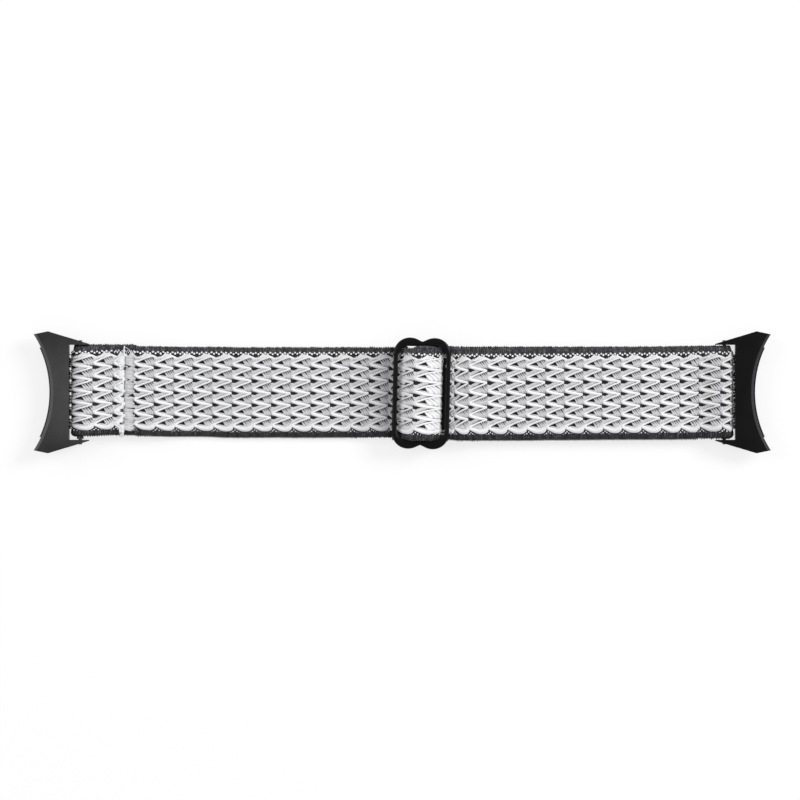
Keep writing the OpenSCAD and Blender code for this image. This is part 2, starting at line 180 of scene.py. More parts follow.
def weave_tree():
    tree = bpy.data.node_groups.new("woven_band", "GeometryNodeTree")
    sockets = [("Path", "Geometry"), *((name, "Object") for name in ("Places", *COLUMN_SOCKETS, "Ground"))]
    sockets += [(name, "Float") for name in NUMBER_SOCKETS]
    sockets += [("Yarn", "Material"), ("Ground yarn", "Material")]
    for name, kind in sockets:
        tree.interface.new_socket(name, in_out="INPUT", socket_type="NodeSocket" + kind)
    tree.interface.new_socket("Band", in_out="OUTPUT", socket_type="NodeSocketGeometry")
    g = Graph(tree)
    given = g.node("NodeGroupInput").outputs

    def named(name, kind):
        return g.node("GeometryNodeInputNamedAttribute", {"Name": name}, data_type=kind)

    def vector(operation, inputs):
        return g.node("ShaderNodeVectorMath", inputs, operation=operation)

    def brought(name):
        return g.node("GeometryNodeObjectInfo", {"Object": given[name]}).outputs["Geometry"]

    scale = g.node("ShaderNodeCombineXYZ", {0: named("stretch", "FLOAT"), 1: 1.0, 2: 1.0})
    places = brought("Places")
    kind = named("kind", "FLOAT")
    cloth = g.node("GeometryNodeJoinGeometry")
    for i, name in enumerate(COLUMN_SOCKETS):
        chosen = g.node("ShaderNodeMath", {0: kind, 1: float(i), 2: 0.1}, operation="COMPARE")
        inputs = {"Points": places, "Selection": chosen, "Instance": brought(name), "Scale": scale}
        copies = g.node("GeometryNodeInstanceOnPoints", inputs)
        g.feed(cloth.inputs[0], g.node("GeometryNodeRealizeInstances", {"Geometry": copies}))
    g.feed(cloth.inputs[0], brought("Ground"))

    flat = g.node("GeometryNodeInputPosition")
    noise = g.node("ShaderNodeTexNoise", {"Vector": flat, "Scale": 0.42, "Detail": 1.0})
    shaken = vector("SUBTRACT", {0: noise.outputs["Color"], 1: (0.5, 0.5, 0.5)})
    parts = g.node("ShaderNodeSeparateXYZ", {0: flat})
    shakes = g.node("ShaderNodeSeparateXYZ", {0: shaken})
    start, step, last, wave, thickness = (Socket(g, given[name]) for name in NUMBER_SOCKETS)
    along = g.out(parts, 0) + g.out(shakes, 0) * wave
    across = g.out(parts, 1) + g.out(shakes, 1) * wave
    height = g.out(parts, 2) * thickness
    spot = ((along - start) / step).over(0.0).under(last - 1.001)
    before = spot.floor()
    share = spot - before

    def on_path(value):
        """A value of the path's points, mixed from the two stations beside the spot."""
        found = []
        for extra in (0.0, 1.0):
            index = g.node("FunctionNodeFloatToInt", {0: before + extra}, rounding_mode="ROUND")
            inputs = {"Geometry": given["Path"], "Value": value, "Index": index}
            found.append(g.node("GeometryNodeSampleIndex", inputs, data_type="FLOAT_VECTOR", domain="POINT"))
        return g.node("ShaderNodeMix", {0: share, 4: found[0], 5: found[1]}, data_type="VECTOR").outputs[1]

    place = on_path(g.node("GeometryNodeInputPosition"))
    for direction, amount in (("across", across), ("facing", height)):
        side = vector("SCALE", {0: on_path(named(direction, "FLOAT_VECTOR")), "Scale": amount})
        place = vector("ADD", {0: place, 1: side})
    laid = g.node("GeometryNodeSetPosition", {"Geometry": cloth, "Position": place})
    black = g.node("GeometryNodeSetMaterial", {"Geometry": laid, "Material": given["Ground yarn"]})
    inputs = {"Geometry": black, "Selection": named("yarn", "BOOLEAN"), "Material": given["Yarn"]}
    g.node("NodeGroupOutput", {0: g.node("GeometryNodeSetMaterial", inputs)})
    return tree


# Meshes built from tubes and beads


def add_object(name, mesh):
    made = bpy.data.objects.new(name, mesh)
    bpy.context.scene.collection.objects.link(made)
    return made


class Shape:
    """Collects closed forms, with a thread map, a tint and a mark that tells white yarn from black."""

    def __init__(self):
        self.points, self.faces, self.maps, self.yarn, self.tint = [], [], [], [], []
        self.count = 0

    def add(self, points, faces, maps, yarn, tint):
        self.points.append(np.asarray(points, float))
        self.faces += [tuple(self.count + i for i in face) for face in faces]
        self.maps += maps
        self.yarn += [yarn] * len(faces)
        self.tint.append(np.broadcast_to(np.asarray(tint, float), (len(points),)))
        self.count += len(points)

    def tube(self, path, wide, high, sides=8, yarn=True, tint=1.0, up=(0, 0, 1)):
        """A closed tube; wide and high are its half sizes, at each point or everywhere."""
        path = np.asarray(path, float)
        n = len(path)
        wide, high, tint = (np.broadcast_to(np.asarray(value, float), (n,)) for value in (wide, high, tint))
        way = np.gradient(path, axis=0)
        way /= np.linalg.norm(way, axis=1, keepdims=True)
        side = np.cross(np.broadcast_to(np.asarray(up, float), (n, 3)), way)
        side /= np.linalg.norm(side, axis=1, keepdims=True)
        top = np.cross(way, side)
        length = np.concatenate([[0], np.cumsum(np.linalg.norm(np.diff(path, axis=0), axis=1))])
        turn = 2 * np.pi * np.arange(sides) / sides
        rings = (
            path[:, None]
            + side[:, None] * (np.cos(turn)[None, :, None] * wide[:, None, None])
            + top[:, None] * (np.sin(turn)[None, :, None] * high[:, None, None])
        )
        faces = []
        maps = []
        for i in range(n - 1):
            for k in range(sides):
                m = (k + 1) % sides
                faces.append((i * sides + k, i * sides + m, (i + 1) * sides + m, (i + 1) * sides + k))
                a, b = k / sides, (k + 1) / sides
                maps.append(((length[i], a), (length[i], b), (length[i + 1], b), (length[i + 1], a)))
        for row, order in ((0, range(sides - 1, -1, -1)), (n - 1, range(sides))):
            faces.append(tuple(row * sides + k for k in order))
            maps.append(tuple((length[row], k / sides) for k in order))
        self.add(rings.reshape(-1, 3), faces, maps, yarn, np.repeat(tint, sides))

    def bead(self, x, y, wide, high, tint):
        """A small rounded bead of white yarn on the cloth's face."""
        turns = np.radians([-65, -25, 15, 55])
        size = wide * np.cos(turns)
        self.tube([(x, y, 0.38 + high * math.sin(a)) for a in turns], size, size, 6, True, tint, (0, 1, 0))

    def mirrored_down(self):
        """Repeats everything on the back of the cloth."""
        self.faces += [tuple(self.count + i for i in face[::-1]) for face in self.faces]
        self.maps += [uv[::-1] for uv in self.maps]
        self.yarn *= 2
        self.points.append(np.concatenate(self.points) * (1, 1, -1))
        self.tint.append(np.concatenate(self.tint))
        self.count *= 2

    def object(self, name):
        mesh = bpy.data.meshes.new(name)
        mesh.from_pydata(np.concatenate(self.points).tolist(), [], self.faces)
        uv = mesh.uv_layers.new(name="thread")
        flat = [c for face in self.maps for pair in face for c in pair]
        uv.data.foreach_set("uv", np.array(flat, np.float32))
        mark = mesh.attributes.new("yarn", "BOOLEAN", "FACE")
        mark.data.foreach_set("value", np.array(self.yarn, bool))
        tint = mesh.attributes.new("tint", "FLOAT", "POINT")
        tint.data.foreach_set("value", np.concatenate(self.tint).astype(np.float32))
        mesh.polygons.foreach_set("use_smooth", [True] * len(mesh.polygons))
        return add_object(name, mesh)


def rounded(points, reach, steps):
    """A line through the points with its corners rounded."""
    points = [np.asarray(p, float) for p in points]
    line = [points[0]]
    for before, corner, after in zip(points, points[1:], points[2:]):
        a = before - corner
        b = after - corner
        start = corner + a * min(0.45, reach / np.linalg.norm(a))
        end = corner + b * min(0.45, reach / np.linalg.norm(b))
        for i in range(steps + 1):
            u = i / steps
            line.append((1 - u) ** 2 * start + 2 * u * (1 - u) * corner + u * u * end)
    return np.array([*line, points[-1]])


def refined(points, longest):
    """The same line with no step longer than asked."""
    line = [points[0]]
    for a, b in zip(points, points[1:]):
        count = max(1, math.ceil(np.linalg.norm(b - a) / longest))
        line += [a + (b - a) * i / count for i in range(1, count + 1)]
    return np.array(line)


def eased(points, reach, steps, longest):
    return refined(rounded(points, reach, steps), longest)


def height_at(line, x):
    """The second number of a line's points where the first is x."""
    line = np.asarray(line)
    return np.interp(x, *line[np.argsort(line[:, 0])].T)


# One column of the weave: (x, height over a row of gaps) on the zigzag, then plain (x, y) and what follows

RIDGE = np.array([(3.95, 1.27), (3.21, 0.97), (2.27, 0.63), (1.46, 0.33), (0.79, 0.02), (0.25, -0.25)])
CORD = np.array([(-0.1, -0.46), (0.15, -0.68), (0.92, -0.9), (1.46, -1.06), (2.27, -1.22), (3.21, -1.32)])
RIDGE_WIDE = (0.2, 0.2, 0.19, 0.19, 0.2, 0.25)
CORD_WIDE = (0.3, 0.35, 0.36, 0.35, 0.32, 0.26)
# How high the threads past a tip reach
PAST_TIP = ((3.9, -0.36), (4.2, -0.55), (4.7, -0.53), (5.1, -0.3), (5.6, -0.1), (6.2, 0.0), (7.2, 0.0))
CREST = [(0.3, 7.48), (0.9, 7.34), (1.25, 7.42), (1.55, 7.75), (1.85, 8.1), (2.3, 8.18), (3.0, 8.12)]
CREST += [(3.6, 7.96), (4.3, 7.64), (4.9, 7.3)]
# Points of the zigzag's two ends, with half widths, half thickness and height
TOP_END = [(5.1, 7.0, 0.14, 0.14, 0.2), (4.45, 7.5, 0.2, 0.18, 0.3), (3.6, 7.76, 0.22, 0.2, 0.4)]
HEM = [(-0.1, -7.36, 0.3, 0.22, 0.36), (0.9, -7.74, 0.38, 0.22, 0.36), (1.78, -8.03, 0.43, 0.22, 0.36)]
HEM += [(2.46, -8.13, 0.42, 0.22, 0.36), (3.2, -8.02, 0.38, 0.22, 0.36), (3.85, -7.7, 0.3, 0.22, 0.32)]
HEM += [(4.35, -7.42, 0.24, 0.22, 0.24)]
OUTER_HEM = [(0.7, -7.8), (1.1, -8.06), (1.5, -8.26), (2.1, -8.4), (2.8, -8.42), (3.4, -8.36), (3.8, -8.14)]
OUTER_HEM = [(x, y, 0.28) for x, y in (*OUTER_HEM, (4.1, -7.85))]
INNER_HEM = [(0.9, -7.42, 0.26), (1.7, -7.76, 0.34), (2.4, -7.84, 0.38), (3.2, -7.66, 0.38)]
INNER_HEM += [(3.9, -7.25, 0.34), (4.3, -7.0, 0.26)]
NOTCH_SPECKS = ((4.24, -8.5, 0.16), (4.62, -8.2, 0.16), (5.1, -8.5, 0.15), (5.6, -8.66, 0.09))
NOTCH_SPECKS += ((3.8, -8.7, 0.09),)
NOTCH_THREADS = ((0.35, 7.95, 0.5), (0.62, 7.82, 0.2), (1.0, 7.8, -0.3), (1.3, 7.95, -0.5))
NOTCH_THREADS += ((3.85, -8.0, 0.2), (4.1, -7.86, 0.0), (4.4, -8.02, -0.2))


def zigzag(shape):
    """The white yarn that runs to and fro: narrow ridges going down to the left, smooth cords going back."""
    line = []
    for j, row in enumerate(LEFT_ROWS):
        ridge = RIDGE + (0, row)
        if j:
            ridge[0, 1] = RIGHT_ROWS[j - 1] - 0.03
        line += [(*p, w, 0.19, 0.40) for p, w in zip(ridge, RIDGE_WIDE)]
        if j < len(RIGHT_ROWS):
            line += [(*p, w, 0.24, 0.36) for p, w in zip(CORD + (0, row), CORD_WIDE)]
    path = eased(TOP_END + line[1:] + HEM, 0.3, 3, 0.6)
    tint = 1.0 - 0.14 * np.clip((-7.4 - path[:, 1]) / 0.5, 0, 1)
    shape.tube(path[:, [0, 1, 4]], path[:, 2], path[:, 3], 10, True, tint)


def ribs(shape, rng, closed, last_x, tight=False, first_x=0.0):
    """Fine threads that hang from each ridge, open at the top and closed where they meet the next cord."""
    way = np.array([math.cos(RIB_WAY), math.sin(RIB_WAY)])
    steps = np.array([0, 0.14, 0.34, 0.6, 0.86, 1])
    arch = 0.3 + 0.06 * np.sin(math.pi * steps**0.7) - 0.12 * steps**2
    for row in LEFT_ROWS:
        for i in range(-4 if closed else 0, 13):
            x = 1.95 + RIB_PITCH * i * (0.8 if i < 0 else 1.0) + rng.uniform(-0.03, 0.03)
            if x > last_x or x < first_x:
                continue
            top = height_at(RIDGE, x) - 0.04 if x < 3.9 else 1.3 + height_at(PAST_TIP, x)
            # The next column's ridge closes the threads past the tip, the cord below closes the others
            nearer = x + 0.75
            if nearer < PITCH:
                bottom = height_at(CORD, nearer) + (0.34 if row == LEFT_ROWS[-1] else 0.28)
            else:
                bottom = height_at(RIDGE, nearer - PITCH) + 0.05
            fall = (top - bottom) / -way[1]
            if fall < 0.25:
                continue
            start = np.array([x, row + top + rng.uniform(-0.04, 0.03)])
            bend = rng.uniform(0.02, 0.08) * np.sin(math.pi * steps)
            flat = start + way * (steps * fall)[:, None] + np.stack([bend, bend], 1)
            past = min(1.0, max(0.0, (x - 3.7) / 0.5))
            height = arch - 0.04 * past + rng.uniform(-0.015, 0.015)
            wide = np.array([0.07, 0.11, 0.17, 0.25, 0.3, 0.3]) * rng.uniform(0.93, 1.08)
            # The tints paint shade along each thread: dark where it starts under the ridge and where it ends
            # at the cord, grey between; threads past a tip stay grey, drawn-out ones get less shade.
            tint = np.array([0.0, 0.2, 0.48, 0.64, 0.44, 0.0]) + rng.uniform(-0.06, 0.05)
            if past:
                wide = np.array([0.2, 0.25, 0.28, 0.3, 0.3, 0.3]) * rng.uniform(0.95, 1.05)
                tint = (0.54, 0.58, 0.56, 0.5, 0.42, 0.3)
            if tight:
                wide = (0.15, 0.2, 0.24, 0.3, 0.32, 0.3)
                tint = (0.55, 0.85, 1.0, 1.0, 0.95, 0.7)
            shape.tube(np.column_stack([flat, height]), wide, 0.13, 6, True, tint)
        if not first_x:
            # A strand half hidden under the open place, grey with painted shade
            low = ((0.65, -0.36, 0.26), (1.3, -0.53, 0.27), (1.9, -0.68, 0.27), (2.5, -0.84, 0.22))
            path = [(x, row + y, h) for x, y, h in low]
            shape.tube(path, (0.08, 0.18, 0.24, 0.22), 0.11, 6, True, (0.5, 0.42, 0.5, 0.6))


def border(shape, rng, bare):
    """Top arches, bottom hem, dots and specks."""
    crest = eased([(x, y, 0.34) for x, y in CREST], 0.2, 2, 0.6)
    crest[:2, 2] -= (0.12, 0.05)
    crest[-2:, 2] -= (0.05, 0.12)
    shape.tube(crest, 0.17, 0.16, 8, True, 0.97)
    for i in range(0 if bare else 7):
        x = 1.6 + 0.36 * i
        top = height_at(CREST, x + 0.25) - 0.02
        foot = height_at(RIDGE, x - 0.35) + LEFT_ROWS[0] + 0.1
        if top - foot > 0.25:
            path = [(x + 0.25, top, 0.33), (x, (top + foot) / 2, 0.42), (x - 0.35, foot, 0.36)]
            shape.tube(path, (0.15, 0.18, 0.15), 0.14, 5, True, (0.85, 0.95, 0.8))
    for strand, wide, tint in ((OUTER_HEM, 0.2, 0.84), (INNER_HEM, 0.22, 0.8)):
        shape.tube(eased(strand, 0.3, 2, 0.6), wide, 0.17, 7, True, tint)
    for i in range(4):
        for dx, y in ((0.54, 8.69), (0.0, 8.38)):
            spot = (PITCH / 4 * i + dx + rng.uniform(-0.06, 0.06), y + rng.uniform(-0.06, 0.06))
            shape.bead(*spot, rng.uniform(0.23, 0.28), 0.18, 1.12)
    for x, y, size in NOTCH_SPECKS:
        shape.bead(x + rng.uniform(-0.05, 0.05), y + rng.uniform(-0.05, 0.05), size, 0.14, 1.1)
    for x, y, turn in NOTCH_THREADS:
        path = [(x - turn * 0.3, y - 0.28, 0.2), (x, y, 0.3), (x + turn * 0.3, y + 0.3, 0.24)]
        shape.tube(path, 0.13, 0.11, 5, False, 0.3)


def selvedge(shape, rng):
    """Black threads wrapped round both edges, small and uneven, the upper ones leaning and paler with more
    painted glints.
    """
    section = [(8.62, 0.26), (8.9, 0.36), (9.35, 0.42), (9.72, 0.32), (9.86, 0.0)]
    wrap = section + [(w, -h) for w, h in section[-2::-1]]
    count = 9
    for i in range(count):
        for side, lean, glint_span in ((1, 0.45, (0.6, 2.0)), (-1, -0.06, (0.0, 0.95))):
            x = PITCH * (i + 0.5) / count + rng.uniform(-0.05, 0.05)
            out = rng.uniform(-0.05, 0.07)
            path = [(x + lean * h, side * (w + out), h * (1 + out)) for w, h in wrap]
            shape.tube(path, 0.19, 0.16, 5, False, rng.uniform(*glint_span), (1, 0, 0))


def column(seed, closed=False, drawn=False, bare=False, full=False):
    """closed and full fill the open places, drawn pulls out the tips and bare leaves the white zigzag out."""
    shape = Shape()
    rng = np.random.default_rng(seed)
    if not bare:
        zigzag(shape)
        ribs(shape, rng, closed, 3.4 if drawn else 9.0, drawn)
        turn = ((1.9, -0.3, 0.3), (0.7, 0.02, 0.4), (0.12, -0.35, 0.42), (0.6, -0.75, 0.4), (1.7, -0.75, 0.3))
        for row in RIGHT_ROWS if full else ():
            shape.tube(eased([(x, row + y, h) for x, y, h in turn], 0.35, 3, 0.4), 0.24, 0.17)
        for points in shape.points if drawn else ():
            points[:, 0] += np.clip(points[:, 0] - 2.3, 0, 1.65)
            points[:, 0] = np.minimum(points[:, 0], 5.5 + 0.15 * np.maximum(points[:, 0] - 5.5, 0))
    border(shape, rng, bare)
    shape.mirrored_down()
    selvedge(shape, rng)
    return shape.object(f"column_{seed}")


def past_column(seed):
    """Only the threads that a column lays past its tips, into the next column."""
    shape = Shape()
    ribs(shape, np.random.default_rng(seed), False, 9.0, first_x=3.85)
    shape.mirrored_down()
    return shape.object(f"column_{seed}")


def ground(name, start, end):
    """The black woven ground, flat, from one station to another."""
    section = [(9.8, 0.0), (9.68, 0.28), (9.3, 0.38), (8.9, 0.33), (8.5, 0.17), (4.0, 0.15), (0.0, 0.15)]
    section += [(-w, h) for w, h in section[-2::-1]]
    section += [(w, -h) for w, h in section[-2:0:-1]]
    count = max(2, math.ceil((end - start) / 0.5))
    points = [(s, w, h) for s in np.linspace(start, end, count + 1) for w, h in section]
    k = len(section)
    faces = []
    for i in range(count):
        for j in range(k):
            m = (j + 1) % k
            faces.append((i * k + j, (i + 1) * k + j, (i + 1) * k + m, i * k + m))
    faces += [tuple(range(k)), tuple(count * k + j for j in range(k - 1, -1, -1))]
    maps = [tuple(points[a][:2] for a in face) for face in faces]
    # The tint sets the black yarn's painted glints: most on the upper edge, fewer on the lower, none between.
    tint = [1.6 if w > 8.6 else 0.6 if w < -8.6 else 0.0 for _, w, _ in points]
    shape = Shape()
    shape.add(points, faces, maps, False, tint)
    return shape.object(name)


def marks_object(name, starts):
    """Where the columns start, each with its stretch along the strap and its kind."""
    mesh = bpy.data.meshes.new(name)
    mesh.from_pydata([(mark[0], 0, 0) for mark in starts], [], [])
    kinds = [float(mark[2] if len(mark) > 2 else i % 3) for i, mark in enumerate(starts)]
    for key, values in (("stretch", [mark[1] for mark in starts]), ("kind", kinds)):
        mesh.attributes.new(key, "FLOAT", "POINT").data.foreach_set("value", values)
    return add_object(name, mesh)


# Paths in the X-Z plane


def arc(centre, r, start, end, steps=24):
    turns = np.radians(np.linspace(start, end, steps + 1))
    return [(centre[0] + r * math.cos(a), centre[1] + r * math.sin(a)) for a in turns]


def step_to(a, b):
    """A soft step from one height to another."""
    (x, z), (end_x, end_z) = a, b
    shares = np.linspace(0, 1, 25)
    return [(x + (end_x - x) * u, z + (end_z - z) * (1 - math.cos(math.pi * u)) / 2) for u in shares]


def loop_turn(pin_x, start, end):
    """The turn round a pin, a little longer along the strap than it is high."""
    turns = np.radians(np.linspace(start, end, 41))
    return [(pin_x + (LOOP_MID + 0.15) * math.cos(a), PIN_Z + LOOP_MID * math.sin(a)) for a in turns]


def joined(*parts):
    line = []
    for part in parts:
        for p in part:
            if not line or math.dist(line[-1], p) > 1e-6:
                line.append(p)
    return np.array(line)


def length_of(line):
    return float(np.linalg.norm(np.diff(line, axis=0), axis=1).sum())


def path_object(name, line, by_x=False, drift=None, on_slider=False, lean=None, width=1.0):
    """Points at even stations along a line, with the direction the cloth faces and the one across it.

    drift gives a sideways shift at a point, lean a turn of the across direction.
    """
    if by_x:
        far = np.abs(line[:, 0] - line[0, 0])
    else:
        far = np.concatenate([[0], np.cumsum(np.linalg.norm(np.diff(line, axis=0), axis=1))])
    at = np.minimum(np.arange(0, far[-1] + STATION_STEP, STATION_STEP), far[-1])
    x = np.interp(at, far, line[:, 0])
    z = np.interp(at, far, line[:, 1])
    for _ in range(2):
        for value in (x, z):
            value[1:-1] = (value[:-2] + 2 * value[1:-1] + value[2:]) / 4
    dx = np.gradient(x)
    dz = np.gradient(z)
    size = np.hypot(dx, dz)
    flat = np.zeros(len(x))
    facing = np.stack([-dz / size, flat, dx / size], 1)
    across = np.tile((0.0, 1.0, 0.0), (len(x), 1))
    place = np.stack([x, flat, z], 1)
    if on_slider:
        turn = np.array(Matrix.Rotation(SLIDER_TURN, 3, "Z")).T
        place = place @ turn + (SLIDER_X, SLIDER_Y, 0)
        facing = facing @ turn
        across = across @ turn
    if lean is not None:
        across = np.array([(-math.sin(lean(px)), math.cos(lean(px)), 0) for px in x])
    if drift is not None:
        place = place + across * np.array([drift(px, pz) for px, pz in zip(x, z)])[:, None]
    mesh = bpy.data.meshes.new(name)
    mesh.from_pydata(place.tolist(), [], [])
    for key, value in (("facing", facing), ("across", across * width)):
        mesh.attributes.new(key, "FLOAT_VECTOR", "POINT").data.foreach_set("vector", value.ravel())
    return add_object(name, mesh), len(x)


def woven(name, line, start, columns, cut, thickness=1.0, forms=None, **laying):
    """Lays columns and their ground along a line and returns the finished mesh piece, in metres."""
    host, count = path_object(name + "_path", line, **laying)
    slab = ground(name + "_slab", *cut)
    marks = marks_object(name + "_marks", columns)
    modifier = host.modifiers.new("weave", "NODES")
    modifier.node_group = WEAVE
    values = {
        "Places": marks,
        "Ground": slab,
        "Start": float(start),
        "Step": STATION_STEP,
        "Last": float(count),
        "Waviness": WAVINESS,
        "Thickness": thickness,
        "Yarn": FINISH["white_yarn"],
        "Ground yarn": FINISH["black_yarn"],
        **dict(zip(COLUMN_SOCKETS, forms or (*COLUMNS, CLOSED, PAST))),
    }
    for item in WEAVE.interface.items_tree:
        if item.in_out == "INPUT" and item.name in values:
            modifier[item.identifier] = values[item.name]
    host.update_tag()
    bpy.context.view_layer.update()
    graph = bpy.context.evaluated_depsgraph_get()
    evaluated = host.evaluated_get(graph)
    mesh = bpy.data.meshes.new_from_object(evaluated, preserve_all_data_layers=True, depsgraph=graph)
    mesh.name = name
    host.modifiers.clear()
    for spare in (host, slab, marks):
        bpy.data.objects.remove(spare)
    mesh.transform(Matrix.Scale(MM, 4))
    mesh.update()
    return add_object(name, mesh)


# Finishes


class Finish(Graph):
    """One material's tree: noise in object coordinates, the thread map, and one way to close it."""

    def __init__(self, name):
        self.material = bpy.data.materials.new(name)
        self.material.use_nodes = True
        super().__init__(self.material.node_tree)
        self.tree.nodes.clear()

    def where(self):
        return self.node("ShaderNodeTexCoord").outputs["Object"]

    def parts(self, vector):
        split = self.node("ShaderNodeSeparateXYZ", {0: vector})
        return [self.out(split, i) for i in range(3)]

    def noise(self, scale, detail):
        inputs = {"Vector": self.where(), "Scale": scale, "Detail": detail}
        return self.out(self.node("ShaderNodeTexNoise", inputs))

    def strands(self, around, along, shift=0.0):
        """Light and dark filaments twisted round a thread."""
        place = self.parts(self.node("ShaderNodeUVMap", uv_map="thread"))
        return ((place[1] * around + place[0] * along + shift) * 2 * math.pi).sine() * 0.5 + 0.5

    def tint(self):
        mark = self.node("ShaderNodeAttribute", attribute_type="GEOMETRY", attribute_name="tint")
        return self.out(mark, "Fac")

    def close(self, tone, dark, pale, rough, bump, **others):
        """tone mixes the two colours, bump is a strength, a distance and a height."""
        tone = tone.under(1.0).over(0.0)
        inputs = {0: tone, 6: (*dark, 1), 7: (*pale, 1)}
        colour = self.node("ShaderNodeMix", inputs, data_type="RGBA").outputs[2]
        bent = self.node("ShaderNodeBump", dict(zip(("Strength", "Distance", "Height"), bump)))
        inputs = {"Base Color": colour, "Roughness": rough, "Normal": bent}
        inputs.update({key.replace("_", " "): value for key, value in others.items()})
        self.end(self.node("ShaderNodeBsdfPrincipled", inputs))
        return self.material

    def end(self, shader):
        self.node("ShaderNodeOutputMaterial", {"Surface": shader})


def white_yarn():
    """White nylon yarn of many filaments; its tint paints light and shade, grey where it lies deep."""
    f = Finish("white_yarn")
    fluff = f.noise(5200.0, 4.0)
    patch = f.noise(420.0, 2.0)
    strands = f.strands(8.0, 0.55, patch * 1.2)
    tone = f.tint() * 0.78 + strands * 0.07 + fluff * 0.12 + patch * 0.06
    bump = (0.55, 0.00006, strands * 0.8 + fluff * 0.6)
    dark, pale = (0.20, 0.20, 0.215), (0.875, 0.875, 0.885)
    return f.close(tone, dark, pale, fluff * 0.25 + 0.55, bump, Sheen_Weight=0.25, Sheen_Roughness=0.4)


def black_yarn():
    """Black nylon ground and selvedge with painted glints: the tint greys the yarn and sets its pale specks
    where filaments catch the light.
    """
    f = Finish("black_yarn")
    fluff = f.noise(3800.0, 4.0)
    strands = f.strands(5.0, 0.9)
    bright = ((f.noise(1900.0, 1.0) - 0.52) * 7.0).over(0.0).under(1.0)
    glint_share = f.tint()
    tone = glint_share * 0.22 + glint_share * bright * 0.55 + strands * 0.1 + fluff * 0.12
    bump = (0.5, 0.00006, strands * 0.8 + fluff)
    dark, pale = (0.0015, 0.0015, 0.002), (0.125, 0.125, 0.135)
    return f.close(tone, dark, pale, fluff * 0.3 + 0.5, bump, Specular_IOR_Level=0.2)


def sewing_thread():
    """Matt white twisted thread."""
    f = Finish("sewing_thread")
    fluff = f.noise(6000.0, 3.0)
    twist = f.strands(3.0, 2.2)
    bump = (0.6, 0.00005, twist + fluff * 0.4)
    dark, pale = (0.68, 0.69, 0.72), (0.9, 0.9, 0.91)
    return f.close(twist * 0.35 + fluff * 0.65, dark, pale, fluff * 0.2 + 0.6, bump, Sheen_Weight=0.2)


def coated_metal(name, dark, pale, rough, shine, painted_sheen=0.0):
    """Cast metal with a satin black coat: a fine grain, faint mottling, and where asked a painted sheen,
    lighter in the middle and darker towards its two ends.
    """
    f = Finish(name)
    grain = f.noise(5500.0, 3.0)
    cloud = f.noise(260.0, 3.0)
    across = f.parts(f.where())[1] * 85.0
    tone = cloud * 0.7 + grain * 0.3 + painted_sheen * 0.5 - across * across * painted_sheen
    bump = (0.35, 0.00003, grain + cloud * 0.5)
    return f.close(tone, dark, pale, cloud * 0.16 + rough, bump, Specular_IOR_Level=shine)


def turned_steel(name, dark, pale, rough):
    """Steel turned on a lathe, with rings along the pin's axis."""
    f = Finish(name)
    along = f.parts(f.where())[1] * 9000.0
    rings = f.out(f.node("ShaderNodeTexNoise", {"W": along, "Detail": 2.0}, noise_dimensions="1D"))
    tone = rings * 0.5 + f.noise(700.0, 3.0) * 0.5
    return f.close(tone, dark, pale, rings * 0.15 + rough, (0.25, 0.00002, rings), Metallic=1.0)


FINISH = {
    "white_yarn": white_yarn(),
    "black_yarn": black_yarn(),
    "sewing_thread": sewing_thread(),
    # The two links' coats are lit and shaded copies of one black coat: the left one's paler colours and its
    # painted sheen are painted light, and each rim finish paints a highlight on its link's chamfer.
    "left_coat": coated_metal("left_coat", (0.012, 0.0117, 0.012), (0.044, 0.0435, 0.044), 0.4, 0.35, 0.8),
    "left_rim": coated_metal("left_rim", (0.045, 0.045, 0.047), (0.07, 0.07, 0.073), 0.35, 0.4),
    "right_rim": coated_metal("right_rim", (0.008, 0.008, 0.01), (0.014, 0.014, 0.017), 0.3, 0.35),
    "right_coat": coated_metal("right_coat", (0.002, 0.0018, 0.0018), (0.005, 0.0045, 0.0045), 0.4, 0.1),
    "slider_coat": coated_metal("slider_coat", (0.0015, 0.0015, 0.0015), (0.004, 0.004, 0.004), 0.24, 0.13),
    "pin_steel": turned_steel("pin_steel", (0.05, 0.05, 0.052), (0.12, 0.12, 0.125), 0.35),
    "spring_steel": turned_steel("spring_steel", (0.3, 0.3, 0.31), (0.5, 0.5, 0.52), 0.3),
}

WEAVE = weave_tree()
COLUMNS = [column(seed) for seed in (3, 4, 5)]
CLOSED = column(6, closed=True)
DRAWN_OUT = column(7, drawn=True)
EDGES = column(8, bare=True)
FULL = column(9, closed=True, full=True)
PAST = past_column(10)


# The band, piece by piece


def spread(start, end):
    """Whole columns that fill a stretch evenly."""
    count = max(1, round((end - start) / PITCH))
    width = (end - start) / count
    return [(start + width * k, width / PITCH) for k in range(count)]


def ramp(x, start, end):
    """0 before the start, 1 after the end, smooth between."""
    share = min(1.0, max(0.0, (x - start) / (end - start)))
    return share * share * (3 - 2 * share)


def points_of(piece):
    points = np.empty(len(piece.data.vertices) * 3, np.float32)
    piece.data.vertices.foreach_get("co", points)
    return points.reshape(-1, 3)


def with_points(piece, points):
    piece.data.vertices.foreach_set("co", points.ravel())
    piece.data.update()
    return piece


def tucked(piece, side):
    """Pulls the cloth's two edges in where it turns round a pin, the upper one most."""
    points = points_of(piece)
    upper = np.clip((points[:, 1] / MM - 8.8) / 0.6, 0, 1)
    lower = np.clip((-points[:, 1] / MM - 8.9) / 0.8, 0, 1)
    share = upper * upper * (3 - 2 * upper) + 0.45 * lower * lower
    past = np.maximum(points[:, 0] * side - (PIN_X - 0.4) * MM, 0)
    points[:, 0] -= side * past * share * 0.27
    return with_points(piece, points)


